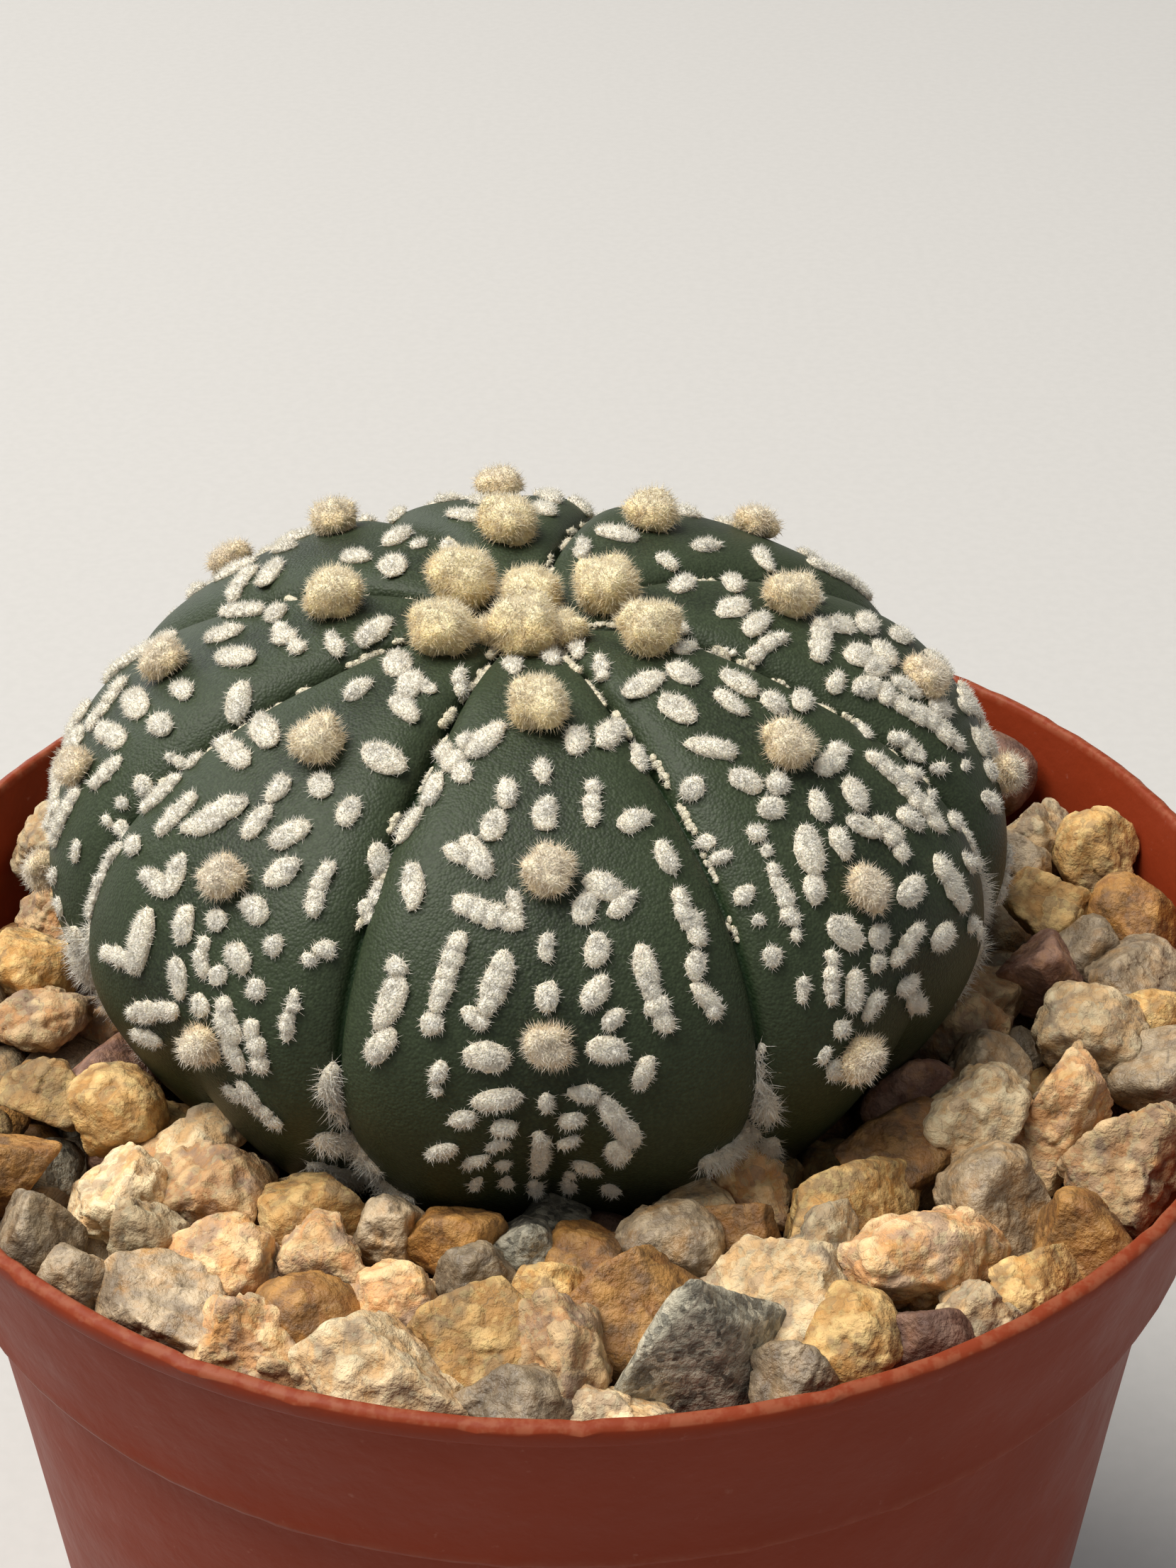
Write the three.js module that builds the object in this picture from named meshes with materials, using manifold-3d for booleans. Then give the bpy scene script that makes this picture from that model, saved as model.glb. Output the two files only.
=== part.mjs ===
// Potted round cactus: a flat globe cactus with eight ribs, felted tufts and
// white wool flecks, set in a small tapered plastic pot under granite gravel.
//
// Millimetres, +Z up. The origin is the middle of the pot's underside. The
// side seen from the front faces -Y, and azimuths count from there towards +X.

import * as THREE from 'three';
import { mergeVertices } from 'three/addons/utils/BufferGeometryUtils.js';
import Module from 'manifold-3d';

const wasm = await Module();
wasm.setup();

// ---------------------------------------------------------------- dimensions

const CLEAR = 0.3; // gap kept between pieces that rest on each other

const POT = {
  height: 72,
  rimRadius: 42.5,
  lipWidth: 1.3,
  lipHeight: 1.9,
  collarHeight: 12.2,
  collarFootRadius: 39.8,
  waistRadius: 38.2,
  footRadius: 32,
  footWidth: 2.6,
  footHeight: 1.8,
  wall: 1.3,
  floor: 1.6,
  edge: 0.5, // rounding of the lip, the collar's foot and the foot ring
  segments: 48,
  holeRadius: 3.2,
  holeCircle: 19,
  holeCount: 6,
  holeSides: 10,
};

const SOIL = { top: 57.5, segments: 36 };

const GRAVEL = {
  bedTop: 66.9,
  surface: 68.3, // mean height of the stones' middles
  inset: 1.6, // from the pot wall to the middle of the outermost stones
  innermost: 18, // least distance of a stone from the pot's axis
  fillSize: [4.4, 7],
  fillTries: 2600,
  spacing: 0.86, // share of two stones' mean size that parts their middles
  block: 0.76, // edge of the block that a stone is knocked from, as a share of its size
  knock: [0.8, 1.2], // how far its corners are moved in or out
  seed: 11,
};

const BODY = {
  centre: new THREE.Vector3(-2.3, 4.4, 76.7), // on the plane of the widest girth
  radius: 29.4,
  upperHeight: 16.5,
  upperPower: 2.2,
  lowerHeight: 26,
  lowerPower: 1.6,
  lowerEnd: 1.36, // where the flank turns in under the body
  crownDip: 2,
  crownDipRadius: 6,
  frontLean: THREE.MathUtils.degToRad(1.3),
  ribs: 8,
  firstRib: THREE.MathUtils.degToRad(4.4),
  // Of each groove from its even place, starting with the one at the front rib's right.
  grooveShift: [1, 1, 0, 6, 0, 0, -1.7, -2.7].map(THREE.MathUtils.degToRad),
  grooveDepth: 1.5,
  groovePower: 6, // how late the skin turns down into a groove
  creaseDepth: 1.7,
  creaseShare: 0.25, // of the half rib, over which the crease fades
  visibleLength: 43, // along a rib from the crown to where gravel hides it
};

// Radius and height, from the widest girth, of the underside and the root neck.
const UNDERSIDE = [[23.6, -13.2], [20, -14.7], [11, -15.2], [6.4, -16.4], [5, -22], [3.2, -33]];
const ROOT_TIP = -34.5;

const TUFT = {
  // Distance from the crown and sideways place on each rib, front rib first, then towards +X.
  places: [
    [[3.8, -0.3], [11.6, 0.1], [22.7, -0.2], [31.8, -0.6]],
    [[8.6, 1.4], [19.4, 0.3], [28.3, -1.8], [37, -5.4]],
    [[5.3, 0.7], [15.9, 1], [24.6, -2.5], [33, -3]],
    [[1.8, 0.8], [14.1, 1.8], [22.5, 0], [31.5, 0]],
    [[9.3, 0.5], [20.4, 0.5], [30, 0]],
    [[4.9, 0.7], [18.6, -2.4], [26, 0.6], [34, 0]],
    [[11.4, -1.4], [21.9, -0.9], [29, 3.2], [36.5, 3]],
    [[6.5, -0.9], [17.3, -0.2], [26.4, 0.4], [35.3, 2.4]],
  ],
  sides: 7,
  oldWidth: 2.5,
  youngExtra: 2.3, // added at the crown, fading along the rib
  fade: 15,
  root: 0.9,
};

const FLECK = {
  width: 1.45,
  height: 0.4,
  root: 0.7,
  sides: 4,
  step: 1.5, // between the beads of a stroke
  laneGap: 2.9, // between neighbouring strokes
  firstLane: 3.4, // from the crown
  laneFoot: 1.2, // from a rib's middle line to the strokes
  shoulderAngle: THREE.MathUtils.degToRad(54), // of a stroke to the rib
  flankAngle: THREE.MathUtils.degToRad(20),
  footAngle: THREE.MathUtils.degToRad(34),
  marginShare: 0.8, // of the half rib, past which the skin is bare
  breakChance: 0.26,
  shortestRun: 2,
  longestRun: 4,
  tuftClearance: 0.9,
  seed: 5,
};

const COLOUR = {
  pot: 0x7a3526,
  soil: 0x3a2a20,
  gravel: 0xc9a986,
  cactus: 0x4c5f4e,
};

// Stones that show most: azimuth, distance from the pot's axis, length across
// the view, depth and height.
const SHOWN_STONES = [
  [-83, 32, 6, 5, 3.4], [-70, 32.5, 4.8, 4.6, 4.2], [-62, 29.5, 4.8, 4.6, 5],
  [-60, 36.5, 4.4, 4.6, 4.4], [-50, 32.3, 5.6, 4.8, 4.8], [-45, 28.4, 7.4, 6, 5],
  [-51, 37.6, 4.6, 4.4, 5], [-42, 34, 3.6, 4, 5.2], [-43, 38.4, 4.6, 4, 3.8],
  [-35, 38, 5.8, 4.8, 4.4], [-34, 32, 6.4, 4.6, 4.6], [-27, 29, 5.6, 4.6, 5],
  [-24, 33.6, 4.2, 3.8, 3.6], [-27, 37, 5.2, 4.4, 4.6], [-14.5, 36.8, 8.6, 6, 5.6],
  [-16, 29.7, 5.4, 4.4, 4.2], [-10, 28, 4.6, 4.2, 4], [-8, 32.7, 5.2, 4.6, 4.6],
  [-4, 38, 4.8, 4, 3.8], [-1.5, 28.2, 4.2, 4, 4.2], [1, 34.6, 4, 5, 5.2],
  [7, 29.4, 6.8, 5, 4.8], [4.5, 38.2, 4.6, 3.8, 3.2], [10.5, 34.4, 7.2, 6.2, 5.6],
  [21.5, 31, 5.6, 6.2, 5.6], [18.5, 38, 4.4, 4, 3.6], [24.5, 36.2, 4, 4.6, 4.6],
  [31, 28.6, 4.2, 4, 4], [29, 37.8, 4.2, 4, 4.2], [36, 33, 7.6, 4.4, 4.2],
  [35, 26.2, 8.4, 4.4, 4], [36, 38.4, 4.2, 3.8, 3.4], [46, 24.8, 6.2, 4.2, 3.6],
  [48, 37.8, 4.4, 4.4, 4.4], [49, 32, 5.8, 5, 4.8], [58, 27.6, 5, 5, 5.4],
  [61, 37, 5.6, 5.4, 5.2], [66, 32, 7.8, 5.6, 5.4], [80, 31.6, 6.8, 5.4, 4.6],
  [91, 29.4, 6.4, 5, 4.4], [99, 36.6, 5.6, 4.8, 4.6], [104, 32, 5, 4.8, 4.6],
];

// ------------------------------------------------------------------- helpers

/** Seeded random numbers from 0 to 1. */
function randomFrom(seed) {
  let state = seed >>> 0;
  return () => {
    state = (state + 0x6d2b79f5) >>> 0;
    let t = Math.imul(state ^ (state >>> 15), 1 | state);
    t = (t + Math.imul(t ^ (t >>> 7), 61 | t)) ^ t;
    return ((t ^ (t >>> 14)) >>> 0) / 4294967296;
  };
}

function mix(a, b, share) {
  return a + (b - a) * share;
}

/** A smooth step from 0 at `from` to 1 at `to`. */
function ease(from, to, value) {
  return THREE.MathUtils.smoothstep(value, from, to);
}

function solidOf(geometry) {
  const bare = geometry.clone();
  bare.deleteAttribute('normal');
  bare.deleteAttribute('uv');
  const welded = mergeVertices(bare, 1e-4);
  const mesh = new wasm.Mesh({
    numProp: 3,
    vertProperties: new Float32Array(welded.attributes.position.array),
    triVerts: new Uint32Array(welded.index.array),
  });
  return new wasm.Manifold(mesh);
}

/** The outer skin of a solid's largest piece: loose scraps and sealed hollows are dropped. */
function largestPiece(solid) {
  const pieces = solid.decompose();
  return pieces.reduce((best, piece) => (piece.volume() > best.volume() ? piece : best));
}

function meshOf(name, solid, colour, roughness) {
  const data = solid.getMesh();
  const geometry = new THREE.BufferGeometry();
  const corners = new Float32Array(data.vertProperties);
  geometry.setAttribute('position', new THREE.BufferAttribute(corners, 3));
  geometry.setIndex(new THREE.BufferAttribute(new Uint32Array(data.triVerts), 1));
  geometry.computeVertexNormals();
  const material = new THREE.MeshStandardMaterial({ color: colour, roughness, metalness: 0 });
  const mesh = new THREE.Mesh(geometry, material);
  mesh.name = name;
  return mesh;
}

/** A closed solid turned round the Z axis, from a profile of [radius, height] pairs. */
function turned(profile, segments) {
  const points = profile.map(([radius, height]) => new THREE.Vector2(radius, height));
  const geometry = new THREE.LatheGeometry(points, segments);
  geometry.rotateX(Math.PI / 2); // the lathe's own axis is Y
  return solidOf(geometry);
}

/** A closed solid from rings of points, each ring alike in number, and a point at both ends. */
function skinned(start, rings, end) {
  const count = rings[0].length;
  const points = [start, ...rings.flat(), end];
  const last = points.length - 1;
  const at = (ring, i) => 1 + ring * count + (i % count);
  const index = [];
  for (let i = 0; i < count; i += 1) {
    index.push(0, at(0, i), at(0, i + 1));
    for (let ring = 0; ring + 1 < rings.length; ring += 1) {
      index.push(at(ring, i), at(ring + 1, i), at(ring + 1, i + 1));
      index.push(at(ring, i), at(ring + 1, i + 1), at(ring, i + 1));
    }
    index.push(last, at(rings.length - 1, i + 1), at(rings.length - 1, i));
  }
  const geometry = new THREE.BufferGeometry();
  const numbers = points.flatMap((point) => point.toArray());
  geometry.setAttribute('position', new THREE.Float32BufferAttribute(numbers, 3));
  geometry.setIndex(index);
  return solidOf(geometry);
}

// ----------------------------------------------------------------------- pot

function wallRadius(z) {
  const collarFoot = POT.height - POT.collarHeight;
  if (z >= collarFoot) {
    return mix(POT.collarFootRadius, POT.rimRadius, (z - collarFoot) / POT.collarHeight);
  }
  return mix(POT.footRadius, POT.waistRadius, z / collarFoot);
}

function innerRadius(z) {
  return wallRadius(z) - POT.wall;
}

function buildPot() {
  const floorTop = POT.footHeight + POT.floor;
  const collarFoot = POT.height - POT.collarHeight;
  const lipFoot = POT.height - POT.lipHeight;
  const { edge } = POT;
  const profile = [
    [0, POT.footHeight],
    [POT.footRadius - POT.footWidth - edge, POT.footHeight],
    [POT.footRadius - POT.footWidth, 0],
    [POT.footRadius - edge, 0],
    [POT.footRadius, edge],
    [POT.waistRadius, collarFoot - edge],
    [POT.collarFootRadius, collarFoot - edge],
    [POT.collarFootRadius + edge / 4, collarFoot + edge / 2],
    [wallRadius(lipFoot) - edge / 2, lipFoot - edge],
    [POT.rimRadius - edge / 4, lipFoot + edge / 2],
    [POT.rimRadius, POT.height - edge / 2],
    [POT.rimRadius - edge / 2, POT.height],
    [POT.rimRadius - POT.lipWidth, POT.height],
    [innerRadius(lipFoot), lipFoot],
    [innerRadius(collarFoot), collarFoot],
    [innerRadius(collarFoot - 2 * edge), collarFoot - 2 * edge],
    [innerRadius(floorTop), floorTop],
    [0, floorTop],
  ];
  const hole = new THREE.CylinderGeometry(POT.holeRadius, POT.holeRadius, 4 * POT.floor, POT.holeSides);
  hole.rotateX(Math.PI / 2);
  let pot = turned(profile, POT.segments);
  for (let i = 0; i <= POT.holeCount; i += 1) {
    const angle = (i * 2 * Math.PI) / POT.holeCount;
    const reach = i === POT.holeCount ? 0 : POT.holeCircle; // the last hole is in the middle
    const x = reach * Math.cos(angle);
    const y = reach * Math.sin(angle);
    pot = pot.subtract(solidOf(hole.clone().translate(x, y, POT.footHeight)));
  }
  return pot;
}

// --------------------------------------------------------------- cactus form

/** Radius and height of the plain body at t: 0 at the crown, 1 at the girth, up to lowerEnd. */
function meridian(t) {
  const upper = Math.min(t, 1) * (Math.PI / 2);
  const lower = Math.max(t - 1, 0) * (Math.PI / 2);
  const radius = t <= 1
    ? BODY.radius * Math.sin(upper) ** (2 / BODY.upperPower)
    : BODY.radius * Math.cos(lower) ** (2 / BODY.lowerPower);
  const height = t <= 1
    ? BODY.upperHeight * Math.max(Math.cos(upper), 0) ** (2 / BODY.upperPower)
    : -BODY.lowerHeight * Math.sin(lower) ** (2 / BODY.lowerPower);
  const dip = BODY.crownDip * Math.exp(-((radius / BODY.crownDipRadius) ** 2));
  return [radius, height - dip];
}

const LOWER_END_RADIUS = meridian(BODY.lowerEnd)[0];

/** How far the skin lies inside the plain body: grooves between ribs, and a crease low on each rib. */
function sink(t, u) {
  const groove = BODY.grooveDepth * ease(0, 0.3, t) * mix(1, 1.5, ease(1, 1.3, t));
  const crease = BODY.creaseDepth * ease(0.75, 1.35, t);
  const fromMiddle = Math.abs(u);
  return groove * fromMiddle ** BODY.groovePower + crease * Math.exp(-fromMiddle / BODY.creaseShare);
}

function grooveAzimuth(index) {
  const ribAngle = (2 * Math.PI) / BODY.ribs;
  const shift = BODY.grooveShift[(index + BODY.ribs) % BODY.ribs];
  return BODY.firstRib + (index + 0.5) * ribAngle + shift;
}

/** Azimuth on a rib: u is -1 and 1 at its grooves and 0 on its middle line. */
function ribAzimuth(rib, u) {
  return mix(grooveAzimuth(rib - 1), grooveAzimuth(rib), (u + 1) / 2);
}

function placed(radius, height, azimuth) {
  const point = new THREE.Vector3(radius * Math.sin(azimuth), -radius * Math.cos(azimuth), height);
  point.applyAxisAngle(new THREE.Vector3(1, 0, 0), BODY.frontLean);
  return point.add(BODY.centre);
}

/** A point of the skin, `out` millimetres outside it. */
function skin(rib, t, u, out = 0) {
  const small = 1e-3;
  const [radius, height] = meridian(t);
  const [r0, h0] = meridian(Math.max(t - small, 0));
  const [r1, h1] = meridian(t + small);
  const length = Math.hypot(r1 - r0, h1 - h0);
  const push = out - sink(t, u);
  const normal = [-(h1 - h0) / length, (r1 - r0) / length];
  return placed(Math.max(radius + push * normal[0], 0), height + push * normal[1], ribAzimuth(rib, u));
}

/** Length along a rib's middle line from the crown, for t in even steps, and its inverse. */
const RIB_STEPS = 300;
const RIB_LENGTHS = [0];
for (let i = 1; i <= RIB_STEPS; i += 1) {
  const [r0, h0] = meridian(((i - 1) * BODY.lowerEnd) / RIB_STEPS);
  const [r1, h1] = meridian((i * BODY.lowerEnd) / RIB_STEPS);
  RIB_LENGTHS.push(RIB_LENGTHS[i - 1] + Math.hypot(r1 - r0, h1 - h0));
}

function stationAt(distance) {
  const i = RIB_LENGTHS.findIndex((length) => length >= distance);
  if (i < 1) {
    return i === 0 ? 0 : BODY.lowerEnd;
  }
  const share = (distance - RIB_LENGTHS[i - 1]) / (RIB_LENGTHS[i] - RIB_LENGTHS[i - 1]);
  return ((i - 1 + share) * BODY.lowerEnd) / RIB_STEPS;
}

/** Half a rib's breadth, along the skin, at a distance from the crown. */
function halfRib(distance) {
  return (Math.PI / BODY.ribs) * meridian(stationAt(distance))[0];
}

/** Place between a rib's grooves, as ribAzimuth takes it, at a length sideways from its even middle line. */
function placeAcross(rib, distance, sideways) {
  const radius = Math.max(meridian(stationAt(distance))[0], 0.5);
  const azimuth = BODY.firstRib + (rib * 2 * Math.PI) / BODY.ribs + sideways / radius;
  const first = grooveAzimuth(rib - 1);
  return (2 * (azimuth - first)) / (grooveAzimuth(rib) - first) - 1;
}

/** Position and axes on the skin: `along` runs down the rib, `across` towards +u. */
function skinFrame(rib, distance, sideways) {
  const t = stationAt(distance);
  const u = placeAcross(rib, distance, sideways);
  const origin = skin(rib, t, u);
  const along = skin(rib, t + 0.01, u).sub(skin(rib, Math.max(t - 0.01, 0), u)).normalize();
  const across = skin(rib, t, u + 0.02).sub(skin(rib, t, u - 0.02)).normalize();
  const normal = new THREE.Vector3().crossVectors(along, across).normalize();
  return { origin, along, across: new THREE.Vector3().crossVectors(normal, along), normal };
}

/** The ribbed body with its root, grown outwards by `out`. */
function bodySolid(out = 0) {
  const upper = [0.07, 0.15, 0.24, 0.34, 0.46, 0.58, 0.7, 0.82, 0.94];
  const lower = [1.05, 1.16, 1.27, BODY.lowerEnd];
  const columns = [-1, -0.86, -0.5, 0, 0.5, 0.86];
  const rings = [...upper, ...lower].map((t) => ribRing(columns, (rib, u) => skin(rib, t, u, out)));
  for (const [radius, height] of UNDERSIDE) {
    const share = radius / LOWER_END_RADIUS;
    const lobed = ease(0.4, 1, share);
    const ring = ribRing(columns, (rib, u) => {
      const inward = lobed * sink(BODY.lowerEnd, u);
      return placed(radius + out - inward, height - out, ribAzimuth(rib, u));
    });
    rings.push(ring);
  }
  const crown = skin(0, 0, 0, out);
  const tip = placed(0, ROOT_TIP - out, 0);
  return skinned(crown, rings, tip);
}

function ribRing(columns, pointAt) {
  const ring = [];
  for (let rib = 0; rib < BODY.ribs; rib += 1) {
    for (const u of columns) {
      ring.push(pointAt(rib, u));
    }
  }
  return ring;
}

// -------------------------------------------------------------- cactus relief

function tuftPlaces() {
  return TUFT.places.flatMap((places, rib) => places.map(([distance, sideways]) => {
    const young = mix(0.8, 1, ease(1, 4, distance));
    const width = TUFT.oldWidth + TUFT.youngExtra * Math.exp(-distance / TUFT.fade);
    return { rib, distance, sideways, width: young * width };
  }));
}

/** A felted tuft: a low-sided ball, upright at the crown and lower on the flank. */
function tuftSolid(place) {
  const { origin, along, across, normal } = skinFrame(place.rib, place.distance, place.sideways);
  const radius = place.width / 2;
  const rise = radius * mix(1.75, 1.25, ease(4, 30, place.distance));
  const levels = [[0.7, -TUFT.root], [1, rise * 0.4], [0.66, rise * 0.84]];
  const rings = levels.map(([share, height]) => {
    const ring = [];
    for (let i = 0; i < TUFT.sides; i += 1) {
      const angle = (i * 2 * Math.PI) / TUFT.sides;
      ring.push(origin.clone()
        .addScaledVector(across, share * radius * Math.cos(angle))
        .addScaledVector(along, share * radius * Math.sin(angle))
        .addScaledVector(normal, height));
    }
    return ring;
  });
  const foot = origin.clone().addScaledVector(normal, -TUFT.root);
  const top = origin.clone().addScaledVector(normal, rise);
  return outward(foot, rings, top);
}

/** Skins the rings, turning them over if they were given inside out. */
function outward(start, rings, end) {
  const solid = skinned(start, rings, end);
  return solid.volume() > 0 ? solid : skinned(end, [...rings].reverse(), start);
}

/** Angle of the strokes to the rib: wide on the shoulder, nearly along the rib on the flank. */
function strokeAngle(distance) {
  const upper = mix(FLECK.shoulderAngle, FLECK.flankAngle, ease(8, 27, distance));
  return mix(upper, FLECK.footAngle, ease(33, 42, distance));
}

/** Runs of wool beads on both halves of a rib, in lanes that leave its middle line downwards. */
function fleckRuns(rib, random) {
  const tufts = tuftPlaces().filter((place) => place.rib === rib);
  const nearTuft = (distance, sideways) => tufts.some((place) => {
    const reach = place.width / 2 + FLECK.tuftClearance;
    return Math.hypot(distance - place.distance, sideways - place.sideways) < reach;
  });
  const runs = [];
  for (const side of [-1, 1]) {
    let start = FLECK.firstLane + 1.6 * random();
    while (start < BODY.visibleLength) {
      let run = [];
      let distance = start;
      let sideways = FLECK.laneFoot + 0.5 * random();
      while (sideways < FLECK.marginShare * halfRib(distance) && distance < BODY.visibleLength) {
        const angle = strokeAngle(distance);
        const dropped = random() < FLECK.breakChance || nearTuft(distance, side * sideways);
        if (!dropped) {
          const size = 0.8 + 0.35 * random();
          run.push({ distance, sideways: side * sideways, angle: side * angle, size });
        }
        if (dropped || run.length === FLECK.longestRun) {
          runs.push(run);
          run = [];
        }
        distance += FLECK.step * Math.cos(angle);
        sideways += FLECK.step * Math.sin(angle);
      }
      runs.push(run);
      start += (FLECK.laneGap * (0.85 + 0.3 * random())) / Math.sin(strokeAngle(start));
    }
  }
  return runs.filter((run) => run.length > 0);
}

/** One run of beads as a low oblong, its root sunk in the skin. */
function fleckSolid(rib, run) {
  const first = run[0];
  const last = run[run.length - 1];
  const middle = (first.distance + last.distance) / 2;
  const frame = skinFrame(rib, middle, (first.sideways + last.sideways) / 2);
  const direction = frame.along.clone().multiplyScalar(Math.cos(first.angle))
    .addScaledVector(frame.across, Math.sin(first.angle));
  const beside = new THREE.Vector3().crossVectors(frame.normal, direction);
  const half = (FLECK.step * (run.length - 1) + FLECK.width) / 2;
  const width = (FLECK.width / 2) * first.size;
  const level = (rise, share) => {
    const ring = [];
    const corner = 1 / Math.cos(Math.PI / FLECK.sides);
    for (let i = 0; i < FLECK.sides; i += 1) {
      const angle = ((i + 0.5) * 2 * Math.PI) / FLECK.sides;
      ring.push(frame.origin.clone()
        .addScaledVector(direction, corner * (half - (1 - share) * width) * Math.cos(angle))
        .addScaledVector(beside, corner * share * width * Math.sin(angle))
        .addScaledVector(frame.normal, rise));
    }
    return ring;
  };
  const foot = frame.origin.clone().addScaledVector(frame.normal, -FLECK.root);
  const top = frame.origin.clone().addScaledVector(frame.normal, FLECK.height);
  return outward(foot, [level(-FLECK.root, 0.9), level(0.8 * FLECK.height, 0.75)], top);
}

/** Body, tufts and the longer flecks as one solid. */
function buildCactus() {
  const relief = tuftPlaces().map(tuftSolid);
  const random = randomFrom(FLECK.seed);
  for (let rib = 0; rib < BODY.ribs; rib += 1) {
    const runs = fleckRuns(rib, random).filter((run) => run.length >= FLECK.shortestRun);
    relief.push(...runs.map((run) => fleckSolid(rib, run)));
  }
  return largestPiece(wasm.Manifold.union([bodySolid(), ...relief]));
}

// ---------------------------------------------------------- soil and gravel

/** The space inside the pot wall between two heights, a gap clear of it. */
function roomInPot(bottom, top, segments) {
  const waist = POT.height - POT.collarHeight - 2 * POT.edge;
  const levels = waist > bottom && waist < top ? [bottom, waist, top] : [bottom, top];
  const wall = levels.map((z) => [innerRadius(z) - CLEAR, z]);
  return turned([[0, bottom], ...wall, [0, top]], segments);
}

function buildSoil(rootHole) {
  const bottom = POT.footHeight + POT.floor + CLEAR;
  return largestPiece(roomInPot(bottom, SOIL.top, SOIL.segments).subtract(rootHole));
}

/** Listed stones first, then a seeded fill of the ring between body and pot wall. */
function stonePlaces() {
  const places = SHOWN_STONES.map(([degrees, distance, length, depth, height]) => {
    const azimuth = THREE.MathUtils.degToRad(degrees);
    const x = distance * Math.sin(azimuth);
    const y = -distance * Math.cos(azimuth);
    return { x, y, azimuth, length, depth, height };
  });
  const random = randomFrom(GRAVEL.seed);
  const outer = innerRadius(GRAVEL.surface) - GRAVEL.inset;
  for (let i = 0; i < GRAVEL.fillTries; i += 1) {
    const azimuth = 2 * Math.PI * random();
    const distance = mix(GRAVEL.innermost, outer, Math.sqrt(random()));
    const size = mix(...GRAVEL.fillSize, random());
    const x = distance * Math.sin(azimuth);
    const y = -distance * Math.cos(azimuth);
    const fromBody = Math.hypot(x - BODY.centre.x, y - BODY.centre.y);
    const clear = places.every((other) => {
      const reach = (GRAVEL.spacing * (size + (other.length + other.depth) / 2)) / 2;
      return Math.hypot(x - other.x, y - other.y) > reach;
    });
    if (clear && fromBody > LOWER_END_RADIUS && distance + size / 2 < outer + GRAVEL.inset) {
      places.push({ x, y, azimuth, length: size, depth: size * 0.85, height: size * 0.8 });
    }
  }
  return places;
}

/** A broken pebble: a block with its corners knocked out of true. */
function stoneSolid(place, index) {
  const random = randomFrom(100 + index);
  const geometry = new THREE.BoxGeometry(GRAVEL.block, GRAVEL.block, GRAVEL.block);
  geometry.deleteAttribute('normal');
  geometry.deleteAttribute('uv');
  const pebble = mergeVertices(geometry, 1e-4);
  const position = pebble.attributes.position;
  for (let i = 0; i < position.count; i += 1) {
    const knock = mix(...GRAVEL.knock, random());
    position.setXYZ(i, position.getX(i) * knock, position.getY(i) * knock, position.getZ(i) * knock);
  }
  pebble.rotateX(0.9 * (random() - 0.5));
  pebble.rotateZ(Math.PI * random());
  pebble.scale(place.length, place.depth, place.height);
  pebble.rotateZ(place.azimuth + 0.5 * (random() - 0.5));
  pebble.translate(place.x, place.y, GRAVEL.surface + 0.8 * (random() - 0.5));
  return solidOf(pebble);
}

function buildGravel(bodyRoom) {
  const stones = stonePlaces().map(stoneSolid);
  const bed = roomInPot(SOIL.top + CLEAR, GRAVEL.bedTop, POT.segments);
  const room = roomInPot(SOIL.top + CLEAR, POT.height + 4, POT.segments);
  const heap = wasm.Manifold.union([bed, ...stones]).intersect(room).subtract(bodyRoom);
  return largestPiece(heap);
}

// ------------------------------------------------------------------ assembly

const plant = new THREE.Group();
const rootRoom = bodySolid(CLEAR);
const woolRoom = bodySolid(CLEAR + 1.5 * FLECK.height);

const pieces = [
  meshOf('pot', buildPot(), COLOUR.pot, 0.45),
  meshOf('substrate', buildSoil(rootRoom), COLOUR.soil, 0.95),
  meshOf('gravel', buildGravel(woolRoom), COLOUR.gravel, 0.8),
  meshOf('cactus', buildCactus(), COLOUR.cactus, 0.6),
];
plant.add(...pieces);

export default plant;
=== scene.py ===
"""A potted round cactus: a ribbed globe with felted tufts and white wool flecks, in gravel in a plastic pot.

Metres, +Z up. The side seen from the front faces -Y, and azimuths count from there towards +X.
"""

import logging
import math
from collections.abc import Callable, Iterable
from dataclasses import dataclass, field, replace
from enum import Enum
from typing import Any

import bmesh
import bpy
import numpy as np
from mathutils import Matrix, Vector, noise
from mathutils.bvhtree import BVHTree


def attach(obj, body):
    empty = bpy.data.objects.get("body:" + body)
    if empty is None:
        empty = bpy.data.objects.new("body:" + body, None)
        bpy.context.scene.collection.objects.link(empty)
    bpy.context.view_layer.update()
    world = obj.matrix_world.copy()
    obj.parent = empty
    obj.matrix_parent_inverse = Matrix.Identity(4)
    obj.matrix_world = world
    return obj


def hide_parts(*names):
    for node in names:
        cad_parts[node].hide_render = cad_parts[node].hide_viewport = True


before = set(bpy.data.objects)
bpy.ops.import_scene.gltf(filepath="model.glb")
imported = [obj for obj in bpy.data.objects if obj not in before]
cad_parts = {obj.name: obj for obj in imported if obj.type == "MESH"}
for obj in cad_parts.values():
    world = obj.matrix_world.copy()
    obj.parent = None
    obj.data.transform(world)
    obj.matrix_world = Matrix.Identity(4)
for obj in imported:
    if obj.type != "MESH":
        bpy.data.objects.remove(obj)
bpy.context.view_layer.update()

MM = 0.001
FULL_TURN = 2 * math.pi
Colour = tuple[float, float, float]
Node = bpy.types.Node
Socket = bpy.types.NodeSocket
Material = bpy.types.Material
Piece = bpy.types.Object

logging.basicConfig(level=logging.INFO, format="%(message)s")
log = logging.getLogger("potted_cactus")


# ---- node trees


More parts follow.
